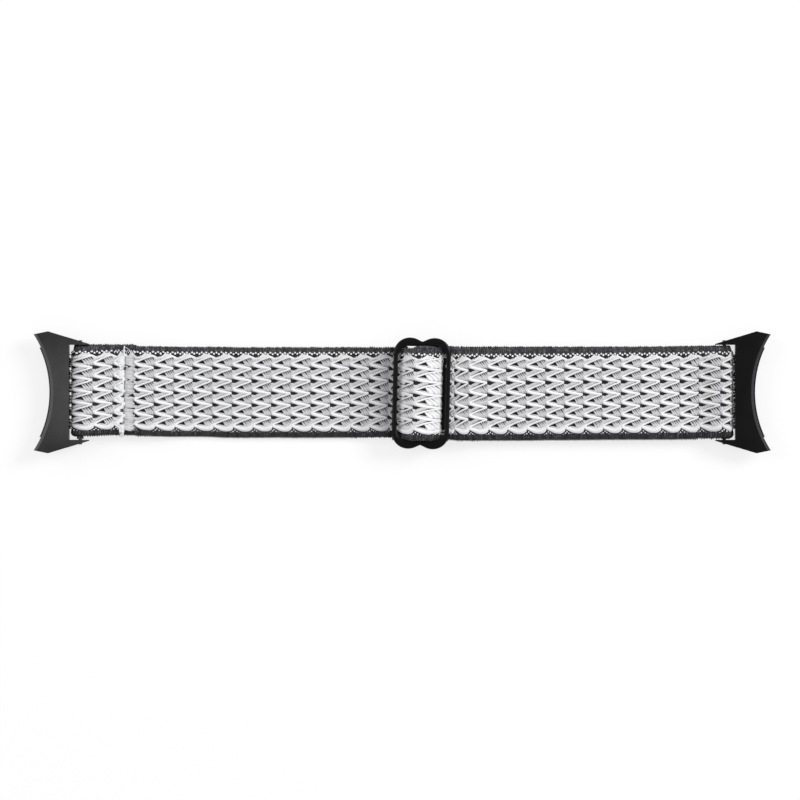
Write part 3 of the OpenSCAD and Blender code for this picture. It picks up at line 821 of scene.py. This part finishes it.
def let_out(piece, reach):
    """Moves the lower hem and selvedge outwards, by millimetres that depend on the place along the strap."""
    points = points_of(piece)
    share = np.clip((-points[:, 1] / MM - 7.4) / 2.6, 0, 1)
    points[:, 1] -= share * MM * np.array([reach(x) for x in points[:, 0] / MM])
    return with_points(piece, points)


def paint_light_and_shade(piece, share):
    """Paints light and shade into the yarn, by a share that depends on the place along the strap."""
    values = piece.data.attributes["tint"].data
    tint = np.empty(len(values), np.float32)
    values.foreach_get("value", tint)
    values.foreach_set("value", tint * np.array([share(x) for x in points_of(piece)[:, 0] / MM], np.float32))
    return piece


def left_drift(x, z):
    front = 0.1 + 0.14 * (1 - ramp(x, -57, -50))
    return front + (0.62 - front) * (1 - ramp(z, 0.7, 3.4)) * (1 - ramp(x, -58.6, -58.2))


def front_drift(x, z=0):
    return -0.45 + 0.22 * min(1.0, max(0.0, (x - 12) / 46)) + 0.15 * ramp(x, 25, 60) + 0.2 * ramp(x, 60, 71)


def rear_drift(x, z=0):
    return 0.14 + 0.22 * ramp(x, 50, 70)


def right_drift(x, z):
    return rear_drift(x) + (front_drift(x) - rear_drift(x)) * ramp(z, 0.7, 2.0 if x < 65 else 3.4)


def sewn_drift(x, z):
    return 0.2 + 0.4 * min(1.0, max(0.0, (x - 1.0) / 3)) if z < 2.5 else 0.2


def front_reach(x):
    return 0.36 * ramp(x, 9, 13) + 0.1 * ramp(x, 40, 58) - 0.1 * ramp(x, 64, 72)


def left_end_cloth():
    line = joined(
        [(-58.7, REAR_Z)],
        step_to((-PIN_X + RISE, REAR_Z), (-PIN_X, PIN_Z - LOOP_MID)),
        loop_turn(-PIN_X, -90, -270),
        step_to((-PIN_X, PIN_Z + LOOP_MID), (-PIN_X + RISE, FRONT_Z)),
        step_to((-56, FRONT_Z), (-46, REAR_Z)),
        [(LEFT_JOIN, REAR_Z)],
    )
    # Stations are counted back from the join, where they equal X
    start = LEFT_JOIN - length_of(line)
    line = joined(line, [(LEFT_JOIN + RUN_ON, REAR_Z)])
    columns = [(a, w, i % 2) for i, (a, w) in enumerate(spread(start + 0.45, -73.1))]
    columns += [(-73.1, 1.18, 0), (-68.0, 1.06, 1), (-63.4, 0.62, 3), (-60.72, 0.42, 2)]
    columns += [(-63.39, 1.04, 4), (-58.9, 1.04, 0), (-54.408, 1.0, 1), (-50.089, 1.0, 0)]
    forms = (COLUMNS[0], COLUMNS[1], EDGES, CLOSED, PAST)
    cut = (start, LEFT_JOIN - 0.03)
    made = woven("left_end_cloth", line, start, columns, cut, forms=forms, drift=left_drift)
    # Painted shade on the loop, darkest at its outer end round the pin.
    return paint_light_and_shade(tucked(made, -1), lambda x: 1 - 0.4 * ramp(-x, 69.3, 72.4))


def left_run_cloth():
    start = LEFT_JOIN - 0.05 - RUN_ON
    bend = [(-12.53 + u, REAR_Z + 0.2646 * u * u / 8) for u in np.linspace(0, 4, 17)]
    under_bar = [(-2.33, UNDER_BAR_Z), (-1.0, UNDER_BAR_Z + 0.1), (2.0, UNDER_BAR_Z + 0.1)]
    line = joined([(start, REAR_Z)], bend, under_bar)
    columns = [(-45.77 + PITCH * k, 1.0) for k in range(10)] + [(-2.58, 0.3)]
    laying = {"by_x": True, "drift": lambda x, z: 0.1 * (1 - ramp(x, -44, -36))}
    laying["lean"] = lambda x: SLIDER_TURN * ramp(x, -9, -3)
    made = woven("left_run_cloth", line, start, columns, (LEFT_JOIN - 0.03, -1.3), **laying)
    made = let_out(made, lambda x: 0.13 * ramp(x, -44, -38) * (1 - ramp(x, -12, -6)))
    # Painted shade where the run rises towards the slider, darkest beside it.
    return paint_light_and_shade(made, lambda x: 1 - 0.18 * ramp(x, -16, -9) - 0.36 * ramp(x, -9, -3))


def over_bar_line():
    """The bulge over the middle bar, round it, down both slopes and out under the long bars."""
    turn = 42.8
    slope = math.radians(turn)
    hump_r = 2.3
    foot_r = 1.0
    drop = FRAME_Z + hump_r - UNDER_BAR_Z
    slope_len = (drop - (hump_r + foot_r) * (1 - math.cos(slope))) / math.sin(slope)
    top = np.array([0, FRAME_Z]) + hump_r * np.array([math.sin(slope), math.cos(slope)])
    foot = top + slope_len * np.array([math.cos(slope), -math.sin(slope)])
    centre = foot + foot_r * np.array([math.sin(slope), math.cos(slope)])
    right = arc((0, FRAME_Z), hump_r, 90, 90 - turn) + arc(centre, foot_r, 270 - turn, 270)
    right.append((BULGE_REACH, UNDER_BAR_Z))
    return joined([(-x, z) for x, z in right[:0:-1]], right)


BULGE = over_bar_line()


def over_bar_cloth():
    columns = [(-6.2, 0.24, 0), (-5.15, 0.907, 1), (-1.23, 1.0, 2), (3.1, 0.7, 0)]
    laying = {"by_x": True, "on_slider": True, "drift": lambda x, z: -0.25, "width": 1.02}
    laying["forms"] = (EDGES, FULL, DRAWN_OUT, COLUMNS[0], PAST)
    made = woven("over_bar_cloth", BULGE, -BULGE_REACH, columns, (-6.2, 6.15), **laying)
    # Painted light: the bulge's left slope is made paler than its right one.
    return paint_light_and_shade(made, lambda x: 1.6 - 0.6 * ramp(x - SLIDER_X, -1.5, 1.5))


def front_run_cloth():
    start = BULGE_JOIN - RUN_ON
    fall = step_to((13.5, UNDER_BAR_Z), (22.5, FRONT_Z))
    line = joined([(start, UNDER_BAR_Z)], fall, [(RUN_END + RUN_ON, FRONT_Z)])
    starts = [9.7, 11.57, 14.82, 19.0, 23.2, 27.5, 31.8, 35.95, 40.1, 44.25, 48.4, 52.71]
    kinds = [3, 3, 3, 0, 1, 2, 0, 1, 2, 0, 1]
    columns = [(a, (b - a) / PITCH, kind) for a, b, kind in zip(starts, starts[1:], kinds)]
    cut = (BULGE_JOIN + 0.05, RIGHT_JOIN)
    made = woven("front_run_cloth", line, start, columns, cut, by_x=True, drift=front_drift)
    return let_out(made, front_reach)


def right_end_cloth():
    start = RIGHT_JOIN - RUN_ON
    line = joined(
        [(start, FRONT_Z)],
        step_to((PIN_X - RISE, FRONT_Z), (PIN_X, PIN_Z + LOOP_MID)),
        loop_turn(PIN_X, 90, -90),
        step_to((PIN_X, PIN_Z - LOOP_MID), (PIN_X - RISE, REAR_Z)),
        [(RIGHT_JOIN, REAR_Z)],
    )
    end = start + length_of(line)
    line = joined(line, [(start, REAR_Z)])
    columns = [(52.71, 1.0), (57.02, 1.0), (61.33, 1.0), (65.64, 1.14), (70.58, 0.72)] + spread(73.69, end)
    cut = (RIGHT_JOIN + 0.02, end - 0.02)
    made = woven("right_end_cloth", line, start, columns, cut, drift=right_drift)
    made = let_out(tucked(made, 1), front_reach)
    # Painted shade where the band rises to the pin and turns round it.
    return paint_light_and_shade(made, lambda x: 1 - 0.12 * ramp(x, 60, 66) - 0.1 * ramp(x, 68, 73))


def rear_run_cloth():
    """The doubled part's lower layer: it runs back towards the slider, so it shows its other face on top."""
    line = np.array([(RUN_END + RUN_ON, REAR_Z), (12.5, REAR_Z)])
    columns = spread(RUN_ON, 39.8 + RUN_ON)
    return woven("rear_run_cloth", line, 0.0, columns, (RUN_ON, 40.15 + RUN_ON), by_x=True, drift=rear_drift)


def sewn_end_cloth():
    """The end folded round the middle bar: it comes from below, goes round and ends as a tab on top."""
    r = 1.15
    middle = np.array([0, FRAME_Z])
    turns = []
    for foot, side in (((3.6, REAR_Z), 1), ((4.05, TAB_Z), -1)):
        way = middle - foot
        lean = side * math.asin(r / np.linalg.norm(way))
        turns.append(math.degrees(math.atan2(way[1], way[0]) + lean) + side * 90)
    line = joined([(SEWN_REACH, REAR_Z), (3.6, REAR_Z)], arc(middle, r, *turns, 40))
    line = joined(line, [(4.05, TAB_Z), (SEWN_REACH, TAB_Z)])
    end = length_of(line)
    laying = {"thickness": 0.74, "on_slider": True, "drift": sewn_drift}
    return woven("sewn_end_cloth", line, 0.0, spread(0.4, end - 1.6), (0.0, end), **laying)


cloth = {
    "left_end_cloth": left_end_cloth(),
    "left_run_cloth": left_run_cloth(),
    "over_bar_cloth": over_bar_cloth(),
    "front_run_cloth": front_run_cloth(),
    "rear_run_cloth": rear_run_cloth(),
    "right_end_cloth": right_end_cloth(),
    "sewn_end_cloth": sewn_end_cloth(),
}
for spare in (*COLUMNS, CLOSED, DRAWN_OUT, EDGES, FULL, PAST):
    bpy.data.objects.remove(spare)
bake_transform(cloth["left_end_cloth"])
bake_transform(cloth["left_run_cloth"])
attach(cloth["over_bar_cloth"], "slider")
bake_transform(cloth["front_run_cloth"])
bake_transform(cloth["rear_run_cloth"])
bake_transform(cloth["right_end_cloth"])
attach(cloth["sewn_end_cloth"], "slider")
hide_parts("band_left_loop", "band_left_bend")
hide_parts("band_left_run")
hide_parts("band_over_bar")
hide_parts("band_front_run")
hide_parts("band_rear_run")
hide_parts("band_right_bend", "band_right_loop")
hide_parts("band_sewn_end")


# Sewing

# Open places of the left seam: height, half size and shift along the strap
SEAM_HOLES = ((5.33, 0.4, 0.35), (-0.83, 0.32, 0.1), (-3.99, 0.36, -0.05), (-6.86, 0.26, -0.3))
SEAM_HOLES += ((1.97, 0.15, -0.05),)


def seam_x(y):
    """Where the left seam runs: it leans a little across the strap."""
    return SEAM_X + 0.25 + 0.025 * y


def finished(shape, name, finish):
    made = shape.object(name)
    made.data.transform(Matrix.Scale(MM, 4))
    made.data.materials.append(FINISH[finish])
    return made


def on_slider(shape, name, finish):
    """A shape built round the slider's middle, moved to where the slider stands."""
    made = finished(shape, name, finish)
    place = Matrix.Translation((SLIDER_X * MM, SLIDER_Y * MM, 0))
    made.data.transform(place @ Matrix.Rotation(SLIDER_TURN, 4, "Z"))
    return made


def over_bulge(points):
    """Points given by their height over the bulge."""
    return [(x, y, height_at(BULGE, x) + h) for x, y, h in points]


def left_seam():
    """The seam across the left loop: yarn combed into a jagged line, and a loose end."""
    shape = Shape()
    rng = np.random.default_rng(7)
    top = FRONT_Z + 0.45
    for y in np.arange(7.9, -8.0, -0.2):
        x = seam_x(y)
        row = min(LEFT_ROWS, key=lambda r: abs(r + 0.15 - y)) + 0.15
        reach = rng.uniform(1.2, 1.8) if abs(row - y) < 0.75 else rng.uniform(0.5, 0.75)
        end = 0.06
        if any(abs(y - place) < half for place, half, _ in SEAM_HOLES):
            end = -0.5
            reach += 0.3
        left_y = y + (row - y) * 0.4 + rng.uniform(-0.1, 0.1)
        path = [
            (x - reach, left_y, top - 0.08),
            (x - 0.6 * reach + 0.5 * end, 0.6 * left_y + 0.4 * y, top + 0.1),
            (x + end - 0.2, y, top + 0.14),
            (x + end, y + rng.uniform(-0.1, 0.1), top - 0.1),
        ]
        shape.tube(path, (0.1, 0.17, 0.15, 0.1), (0.08, 0.12, 0.12, 0.08), 7)
    edges = [8.3] + [v for place, half, _ in SEAM_HOLES[:4] for v in (place + half, place - half)] + [-8.2]
    for start, end in zip(edges[::2], edges[1::2]):
        ys = np.linspace(start, end, 7)
        path = [(seam_x(y) + rng.uniform(-0.08, 0.08), y, top + 0.12 + rng.uniform(-0.04, 0.04)) for y in ys]
        shape.tube(path, [0.1] + [rng.uniform(0.12, 0.2) for _ in ys[2:]] + [0.1], 0.13)
    # The sewing thread over both edges of the band
    marks = ((10.35, 0, -0.55), (10.1, 0.05, 0.05), (9.3, -0.05, 0.13), (8.6, 0.06, 0.15))
    path = [(seam_x(y) + dx, y, top + h) for y, dx, h in (*marks, (7.8, -0.03, 0.15), (7.2, 0.1, 0.05))]
    shape.tube(path, (0.12, 0.17, 0.15, 0.15, 0.14, 0.08), 0.1)
    for i in range(6):
        x = seam_x(-9) - 0.5 + 0.17 * i
        low = 0.55 * x + 0.45 * (SEAM_X - 0.05)
        path = [(x, -7.6, top - 0.05), (x + rng.uniform(-0.08, 0.08), -8.5, top + 0.08)]
        shape.tube([*path, (low, -9.75, top - 0.15), (SEAM_X, -9.8, 1.8)], (0.1, 0.16, 0.13, 0.06), 0.1, 6)
    curl = [(-60.9, 9.9, 2.5), (-60.3, 9.6, 2.85), (-59.75, 9.1, 2.95), (-59.45, 8.5, 2.95)]
    shape.tube(eased([*curl, (-59.45, 7.9, 2.8)], 0.4, 3, 0.3), 0.06, 0.06, 6)
    return finished(shape, "left_seam_stitching", "sewing_thread")


def seam_fans():
    """Fans of fine threads drawn out of the weave on the seam's inner side, grey with painted shade."""
    shape = Shape()
    rng = np.random.default_rng(12)
    for centre in (7.0, 4.15, 1.0, -2.1, -4.8, -7.2):
        x = seam_x(centre) + 0.08
        for i in range(17):
            v = (i - 8) / 8
            far = 2.2 + 0.9 * max(0.0, abs(v) - 0.55) + rng.uniform(-0.12, 0.1)
            spot = centre + rng.uniform(-0.05, 0.05)
            opened = ((0, 0.68, 0.35), (0.25, 0.98, 0.5), (0.6, 1.14, 0.44), (1, 1.06, 0.3))
            path = [(x + far * u, spot + wide * v - 0.12 * u, FRONT_Z + h) for u, wide, h in opened]
            # Painted shade: each thread is grey, darkest at its root beside the seam.
            grey = rng.uniform(0.5, 0.85)
            tint = (grey * 0.6, grey, grey, grey * 0.8)
            shape.tube(path, (0.07, 0.1, 0.12, 0.1), (0.07, 0.09, 0.09, 0.06), 5, True, tint)
    return finished(shape, "seam_fans", "white_yarn")


def seam_ground():
    """Black ground that shows in the seam's open places."""
    shape = Shape()
    rng = np.random.default_rng(15)
    for y, half, shift in SEAM_HOLES:
        for _ in range(5):
            a = rng.uniform(0, math.pi)
            x = seam_x(y) + shift + rng.uniform(-0.1, 0.1) - 0.1
            reach = half * rng.uniform(0.7, 0.95)
            dx, dy = reach * 0.75 * math.cos(a), reach * math.sin(a)
            path = [(x - dx, y - dy, FRONT_Z + 0.5), (x, y, FRONT_Z + 0.6), (x + dx, y + dy, FRONT_Z + 0.5)]
            shape.tube(path, (0.1, 0.16, 0.1), 0.09, 6, False, rng.uniform(0.3, 1.2))
    return finished(shape, "seam_ground", "black_yarn")


def bulge_threads():
    """Loose white threads at the bulge's right edge and two upper corners."""
    shape = Shape()
    rng = np.random.default_rng(13)

    def lay(points, wide, tint):
        shape.tube(over_bulge(points), wide, 0.09, 6, True, tint)

    for y in np.arange(7.6, -8.5, -0.23):
        x = 4.2 + rng.uniform(-0.14, 0.1)
        bow = rng.uniform(0.05, 0.2)
        path = [(x - 0.5, y + 0.42, 0.3), (x + bow, y + 0.08, 0.36), (x - 0.05, y - 0.4, 0.26)]
        lay(path, (0.1, 0.16, 0.1), 0.95)
    for i in range(7):
        x = 3.75 + 0.11 * i
        path = [(x - 0.35, 7.1, 0.36), (x, 7.9, 0.4), (x + rng.uniform(0.1, 0.35), 8.5 + 0.07 * i, 0.3)]
        lay(path, (0.1, 0.13, 0.06), 1.0)
    for i in range(7):
        x = -4.2 + 0.24 * i
        end = (x + rng.uniform(-0.2, 0.1), 8.95 + rng.uniform(-0.2, 0.2), 0.4)
        lay([(x + 0.5, 7.5, 0.4), (x + 0.2, 8.2, 0.45), end], (0.1, 0.11, 0.05), 0.9)
    return on_slider(shape, "bulge_threads", "white_yarn")


def bulge_edge():
    """The selvedge of the bulge, drawn up against the ring."""
    shape = Shape()
    left = ((-5.3, 9.75), (-4.6, 10.05), (-3.9, 10.08), (-3.25, 9.8))
    right = ((-1.7, 9.75), (-1.1, 10.0), (0.6, 10.1), (2.2, 10.05), (3.4, 9.9))
    for marks in (left, right):
        for lift, extra in ((0.1, 0.0), (-0.25, 0.12)):
            path = over_bulge([(x, y + extra, lift) for x, y in marks])
            shape.tube(refined(np.array(path), 0.4), 0.24, 0.24, 7, False, 0.9)
    return on_slider(shape, "bulge_edge", "black_yarn")


def bar_loops():
    """Loose white loops where the band comes out from under the slider's right bar."""
    shape = Shape()
    rng = np.random.default_rng(14)
    loop = ((0.75, 0.62, 0.3), (0.15, 0.4, 0.5), (0, 0, 0.55), (0.2, -0.42, 0.5), (0.8, -0.6, 0.3))
    for y in (*LEFT_ROWS, *RIGHT_ROWS):
        y += -0.62 + rng.uniform(-0.15, 0.15)
        x = 10.75 + 0.024 * y + rng.uniform(0, 0.12)
        path = eased([(x + dx, y + dy, UNDER_BAR_Z + h) for dx, dy, h in loop], 0.3, 2, 0.5)
        shape.tube(path, 0.11, 0.1, 6, True, rng.uniform(0.7, 1.0))
    return finished(shape, "bar_loops", "white_yarn")


def loop_threads(name, side, gaps):
    """Black ground threads that stand out between the white yarn where the band turns round a pin."""
    shape = Shape()
    rng = np.random.default_rng(11)
    for y in np.arange(-7.9, 8.3, 0.2):
        if gaps and min(abs(y - gap) for gap in gaps) < 0.26:
            continue
        y += rng.uniform(-0.05, 0.05)
        out = rng.uniform(2.12, 2.22)
        path = []
        for a in np.radians((-36, -18, 0, 16, rng.uniform(24, 34))):
            x = side * (PIN_X + 0.13 + out * math.cos(a))
            path.append((x, y + rng.uniform(-0.04, 0.04), PIN_Z + out * math.sin(a)))
        # Painted glints: most threads get few, a few get many.
        glint_share = rng.uniform(0.0, 0.2) if rng.uniform() < 0.92 else 1.2
        wide, high = (0.1, 0.15, 0.16, 0.15, 0.08), (0.07, 0.1, 0.11, 0.1, 0.06)
        shape.tube(path, wide, high, 6, False, glint_share, (0, 1, 0))
    return finished(shape, name, "black_yarn")


def slider_seam():
    """Stitches through the band's sewn end, on its face and on its back."""
    shape = Shape()
    stitch = ((7.1, -0.85, 0), (7.08, -0.5, 0.09), (7.1, 0, 0.12), (7.12, 0.5, 0.09), (7.1, 0.85, 0))
    for z, rise in ((TAB_Z + 0.42, 1), (0.1, -0.5)):
        for i in range(9):
            path = [(x, (i - 4) * 2.05 + dy, z + rise * h) for x, dy, h in stitch]
            shape.tube(path, 0.17, 0.09)
    return on_slider(shape, "slider_seam_stitching", "sewing_thread")


stitching = left_seam()
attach(stitching, "left_end")
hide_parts("left_seam_thread")
for side, sign, gaps in (("left", -1, (7.9, 5.1, 2.5, -0.3, -2.95, -5.5)), ("right", 1, ())):
    threads = loop_threads(f"{side}_loop_threads", sign, gaps)
    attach(threads, f"{side}_end")
for threads in (seam_fans(), seam_ground()):
    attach(threads, "left_end")
for threads in (bulge_threads(), bulge_edge(), bar_loops()):
    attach(threads, "slider")
stitching = slider_seam()
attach(stitching, "slider")
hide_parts("slider_seam_thread")


# Slider


def slider_outline():
    """The ring's outer outline, counter-clockwise: two lobes at each end with a rounded dip between them."""
    half_w = 6.3
    half_h = 12.22
    lobe_x = 2.72
    dip = 1.12
    corner_r = half_w - lobe_x
    corner_y = half_h - corner_r
    dip_r = (lobe_x**2 + dip**2) / (2 * dip)
    quarter = [(half_w, 0.0)] + [(half_w, y) for y in np.linspace(2, corner_y, 8)]
    turns = np.radians(np.linspace(5, 90, 18))
    quarter += [(lobe_x + corner_r * math.cos(a), corner_y + corner_r * math.sin(a)) for a in turns]
    for x in np.linspace(lobe_x, 0, 12)[1:]:
        fall = dip_r - math.sqrt(dip_r**2 - (lobe_x - x) ** 2)
        soft = max(0.0, 0.95 - x) ** 2 * 0.29
        quarter.append((x, half_h - min(dip, fall) + soft))
    quarter = np.array(quarter)
    top = np.concatenate([quarter, quarter[::-1][1:] * (-1, 1)])
    return np.concatenate([top, top[::-1][1:-1] * (1, -1)])


def window_outline(guide):
    """The window, in step with the outer outline: beside a bar a point keeps its place along that bar."""
    half_w = 5.3
    half_h = 10.32
    r = 2.3
    line = []
    for x, y in guide:
        sx = math.copysign(1, x) if x else 1
        sy = math.copysign(1, y) if y else 1
        if abs(y) <= half_h - r:
            line.append((sx * half_w, y))
        elif abs(x) <= half_w - r:
            line.append((x, sy * half_h))
        else:
            a = math.atan2(max(abs(y) - (half_h - r), 1e-9), max(abs(x) - (half_w - r), 1e-9))
            line.append((sx * (half_w - r + r * math.cos(a)), sy * (half_h - r + r * math.sin(a))))
    return np.array(line)


def inset(outline, distance):
    """The outline moved sideways: positive goes inwards on a counter-clockwise outline."""
    ahead = np.roll(outline, -1, 0) - outline
    behind = outline - np.roll(outline, 1, 0)
    for way in (ahead, behind):
        way /= np.maximum(np.linalg.norm(way, axis=1, keepdims=True), 1e-9)
    way = ahead + behind
    way /= np.linalg.norm(way, axis=1, keepdims=True)
    return outline + distance * np.stack([-way[:, 1], way[:, 0]], 1)


def cleaned(mesh, merge_dist, work=None):
    """Merges a mesh's doubles, does a further step on it and turns its faces outwards."""
    clean = bmesh.new()
    clean.from_mesh(mesh)
    bmesh.ops.remove_doubles(clean, verts=clean.verts, dist=merge_dist)
    if work:
        work(clean)
    bmesh.ops.recalc_face_normals(clean, faces=clean.faces)
    clean.to_mesh(mesh)
    clean.free()


def slider_ring():
    outer = slider_outline()
    inner = window_outline(outer)
    half = 0.7
    # Round the section: its outer upper edge, the window's upper and lower edge, and the outer lower one
    above = ((outer, 0.5, 0, 90, 7), (inner, -0.36, 90, 0, 6))
    below = ((inner, -0.36, 0, 90, 6), (outer, 0.5, 90, 0, 7))
    rings = []
    for sign, edges in ((1, above), (-1, below)):
        for outline, edge, start, end, count in edges:
            for a in np.radians(np.linspace(start, end, count)):
                z = half - abs(edge) + abs(edge) * math.sin(a)
                rings.append((inset(outline, edge * (1 - math.cos(a))), sign * z))
    n = len(outer)
    points = [(x, y, FRAME_Z + z) for ring, z in rings for x, y in ring]
    faces = []
    for i in range(len(rings)):
        j = (i + 1) % len(rings)
        for k in range(n):
            m = (k + 1) % n
            faces.append((i * n + k, i * n + m, j * n + m, j * n + k))
    shape = Shape()
    shape.add(points, faces, [((0, 0),) * 4] * len(faces), False, 1.0)
    # Middle bar, with a fillet where it meets the ring
    ends = np.array([9.6, 10.0, 10.3, 10.9])
    ys = np.concatenate([-ends[::-1], np.linspace(-8, 8, 9), ends])
    r = np.array([0.72 if abs(y) > 10.2 else 0.68 if abs(y) > 9.8 else 0.65 for y in ys]) * 0.98
    shape.tube([(0, y, FRAME_Z) for y in ys], r, r, 24, False)
    made = on_slider(shape, "slider_casting", "slider_coat")
    cleaned(made.data, 1e-8)
    return made


slider = slider_ring()
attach(slider, "slider")
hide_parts("slider_frame")


# End links, pins and springs: the frame's own forms


def copied(node, name, *finishes):
    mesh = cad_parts[node].data.copy()
    mesh.name = name
    mesh.materials.clear()
    for finish in finishes:
        mesh.materials.append(FINISH[finish])
    return mesh


def softened(node, name, coat, rim, side):
    """A copy of a node with soft edges; the chamfer along the hollow edge gets the rim's finish, a painted
    highlight.
    """
    mesh = copied(node, name, coat, rim)

    def flattened(clean):
        angle = math.radians(1.0)
        bmesh.ops.dissolve_limit(clean, angle_limit=angle, verts=clean.verts, edges=clean.edges)

    cleaned(mesh, 2e-6, flattened)
    for face in mesh.polygons:
        face.material_index = int(0.5 < face.normal.z < 0.9 and face.normal.x * side > 0.3)
        face.use_smooth = True
    made = add_object(name, mesh)
    bevel = made.modifiers.new("soft_edges", "BEVEL")
    bevel.width = 0.1 * MM
    bevel.segments = 3
    bevel.limit_method = "ANGLE"
    bevel.angle_limit = math.radians(28)
    bevel.use_clamp_overlap = True
    bevel.harden_normals = True
    return made


def coil(node, name, body, anchor_y, end_y):
    """A copy of a spring, from its resting end to its moving one."""
    mesh = copied(node, name, "spring_steel")

    def halved(clean):
        every = clean.verts[:] + clean.edges[:] + clean.faces[:]
        way = (0, math.copysign(1, end_y), 0)
        cut = bmesh.ops.bisect_plane(clean, geom=every, plane_co=(0, 0, 0), plane_no=way, clear_inner=True)
        rim = [part for part in cut["geom_cut"] if isinstance(part, bmesh.types.BMEdge)]
        bmesh.ops.edgenet_fill(clean, edges=rim)

    cleaned(mesh, 1e-7, None if anchor_y else halved)
    made = add_object(name, mesh)
    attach(made, body)
    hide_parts(node)
    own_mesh(made)


for side, sign in (("left", -1), ("right", 1)):
    link = softened(f"{side}_end_link", f"{side}_link_casting", f"{side}_coat", f"{side}_rim", sign)
    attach(link, f"{side}_link")
    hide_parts(f"{side}_end_link")
for side, fixed in (("left", WATCH_SPRING_END), ("right", -WATCH_SPRING_END)):
    pin = f"{side}_strap_pin"
    for part, end_y in (("upper", STRAP_SPRING_END), ("lower", -STRAP_SPRING_END)):
        coil(f"{pin}_spring", f"{pin}_{part}_coil", f"{side}_end", 0, end_y)
    pin = f"{side}_watch_pin"
    coil(f"{pin}_spring", f"{pin}_coil", f"{side}_link", fixed, -fixed)
for name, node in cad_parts.items():
    if "_pin_" in name and "spring" not in name:
        node.data.materials.clear()
        node.data.materials.append(FINISH["pin_steel"])


# Floor, light and camera


def floor():
    f = Finish("floor_paper")
    rays = f.node("ShaderNodeLightPath")
    seen = f.out(rays, "Is Camera Ray") + f.out(rays, "Is Glossy Ray") + f.out(rays, "Is Transmission Ray")
    paper = f.node("ShaderNodeBsdfDiffuse", {"Color": (0.9, 0.9, 0.9, 1)})
    glow = f.node("ShaderNodeEmission", {"Color": (1, 1, 1, 1), "Strength": 1.0})
    f.end(f.node("ShaderNodeMixShader", {0: seen.under(1.0) * 0.75, 1: paper, 2: glow}))
    mesh = bpy.data.meshes.new("floor")
    r = 3.0
    z = -0.00006
    mesh.from_pydata([(-r, -r, z), (r, -r, z), (r, r, z), (-r, r, z)], [], [(0, 1, 2, 3)])
    mesh.materials.append(f.material)
    add_object("floor", mesh)


def lamp(name, place, size, power):
    data = bpy.data.lights.new(name, "AREA")
    data.shape = "DISK"
    data.size = size
    data.energy = power
    made = add_object(name, data)
    made.location = place
    made.rotation_euler = (-Vector(place)).to_track_quat("-Z", "Y").to_euler()


def studio():
    lamp("key_lamp", (0.9, 0.45, 0.66), 0.5, 11.8)
    lamp("fill_lamp", (-0.8, 0.3, 0.55), 0.6, 3.8)
    world = bpy.data.worlds.new("studio")
    bpy.context.scene.world = world
    world.use_nodes = True
    world.node_tree.nodes.clear()
    g = Graph(world.node_tree)
    rays = g.node("ShaderNodeLightPath")
    seen = (g.out(rays, "Is Camera Ray") + g.out(rays, "Is Transmission Ray")).under(1.0)
    sky = g.node("ShaderNodeBackground", {"Color": (1, 1, 1, 1), "Strength": seen * 0.46 + 0.54})
    g.node("ShaderNodeOutputWorld", {"Surface": sky})


def camera():
    data = bpy.data.cameras.new("view")
    made = add_object("view", data)
    distance = 1.2
    seen_width = 0.1758
    data.sensor_width = 36
    data.lens = data.sensor_width * distance / seen_width
    data.clip_start = 0.05
    data.clip_end = 10
    made.location = (-0.00049, -0.00169, distance + 0.003)
    bpy.context.scene.camera = made


floor()
studio()
camera()
bpy.context.scene.view_settings.view_transform = "Standard"

bpy.context.view_layer.update()
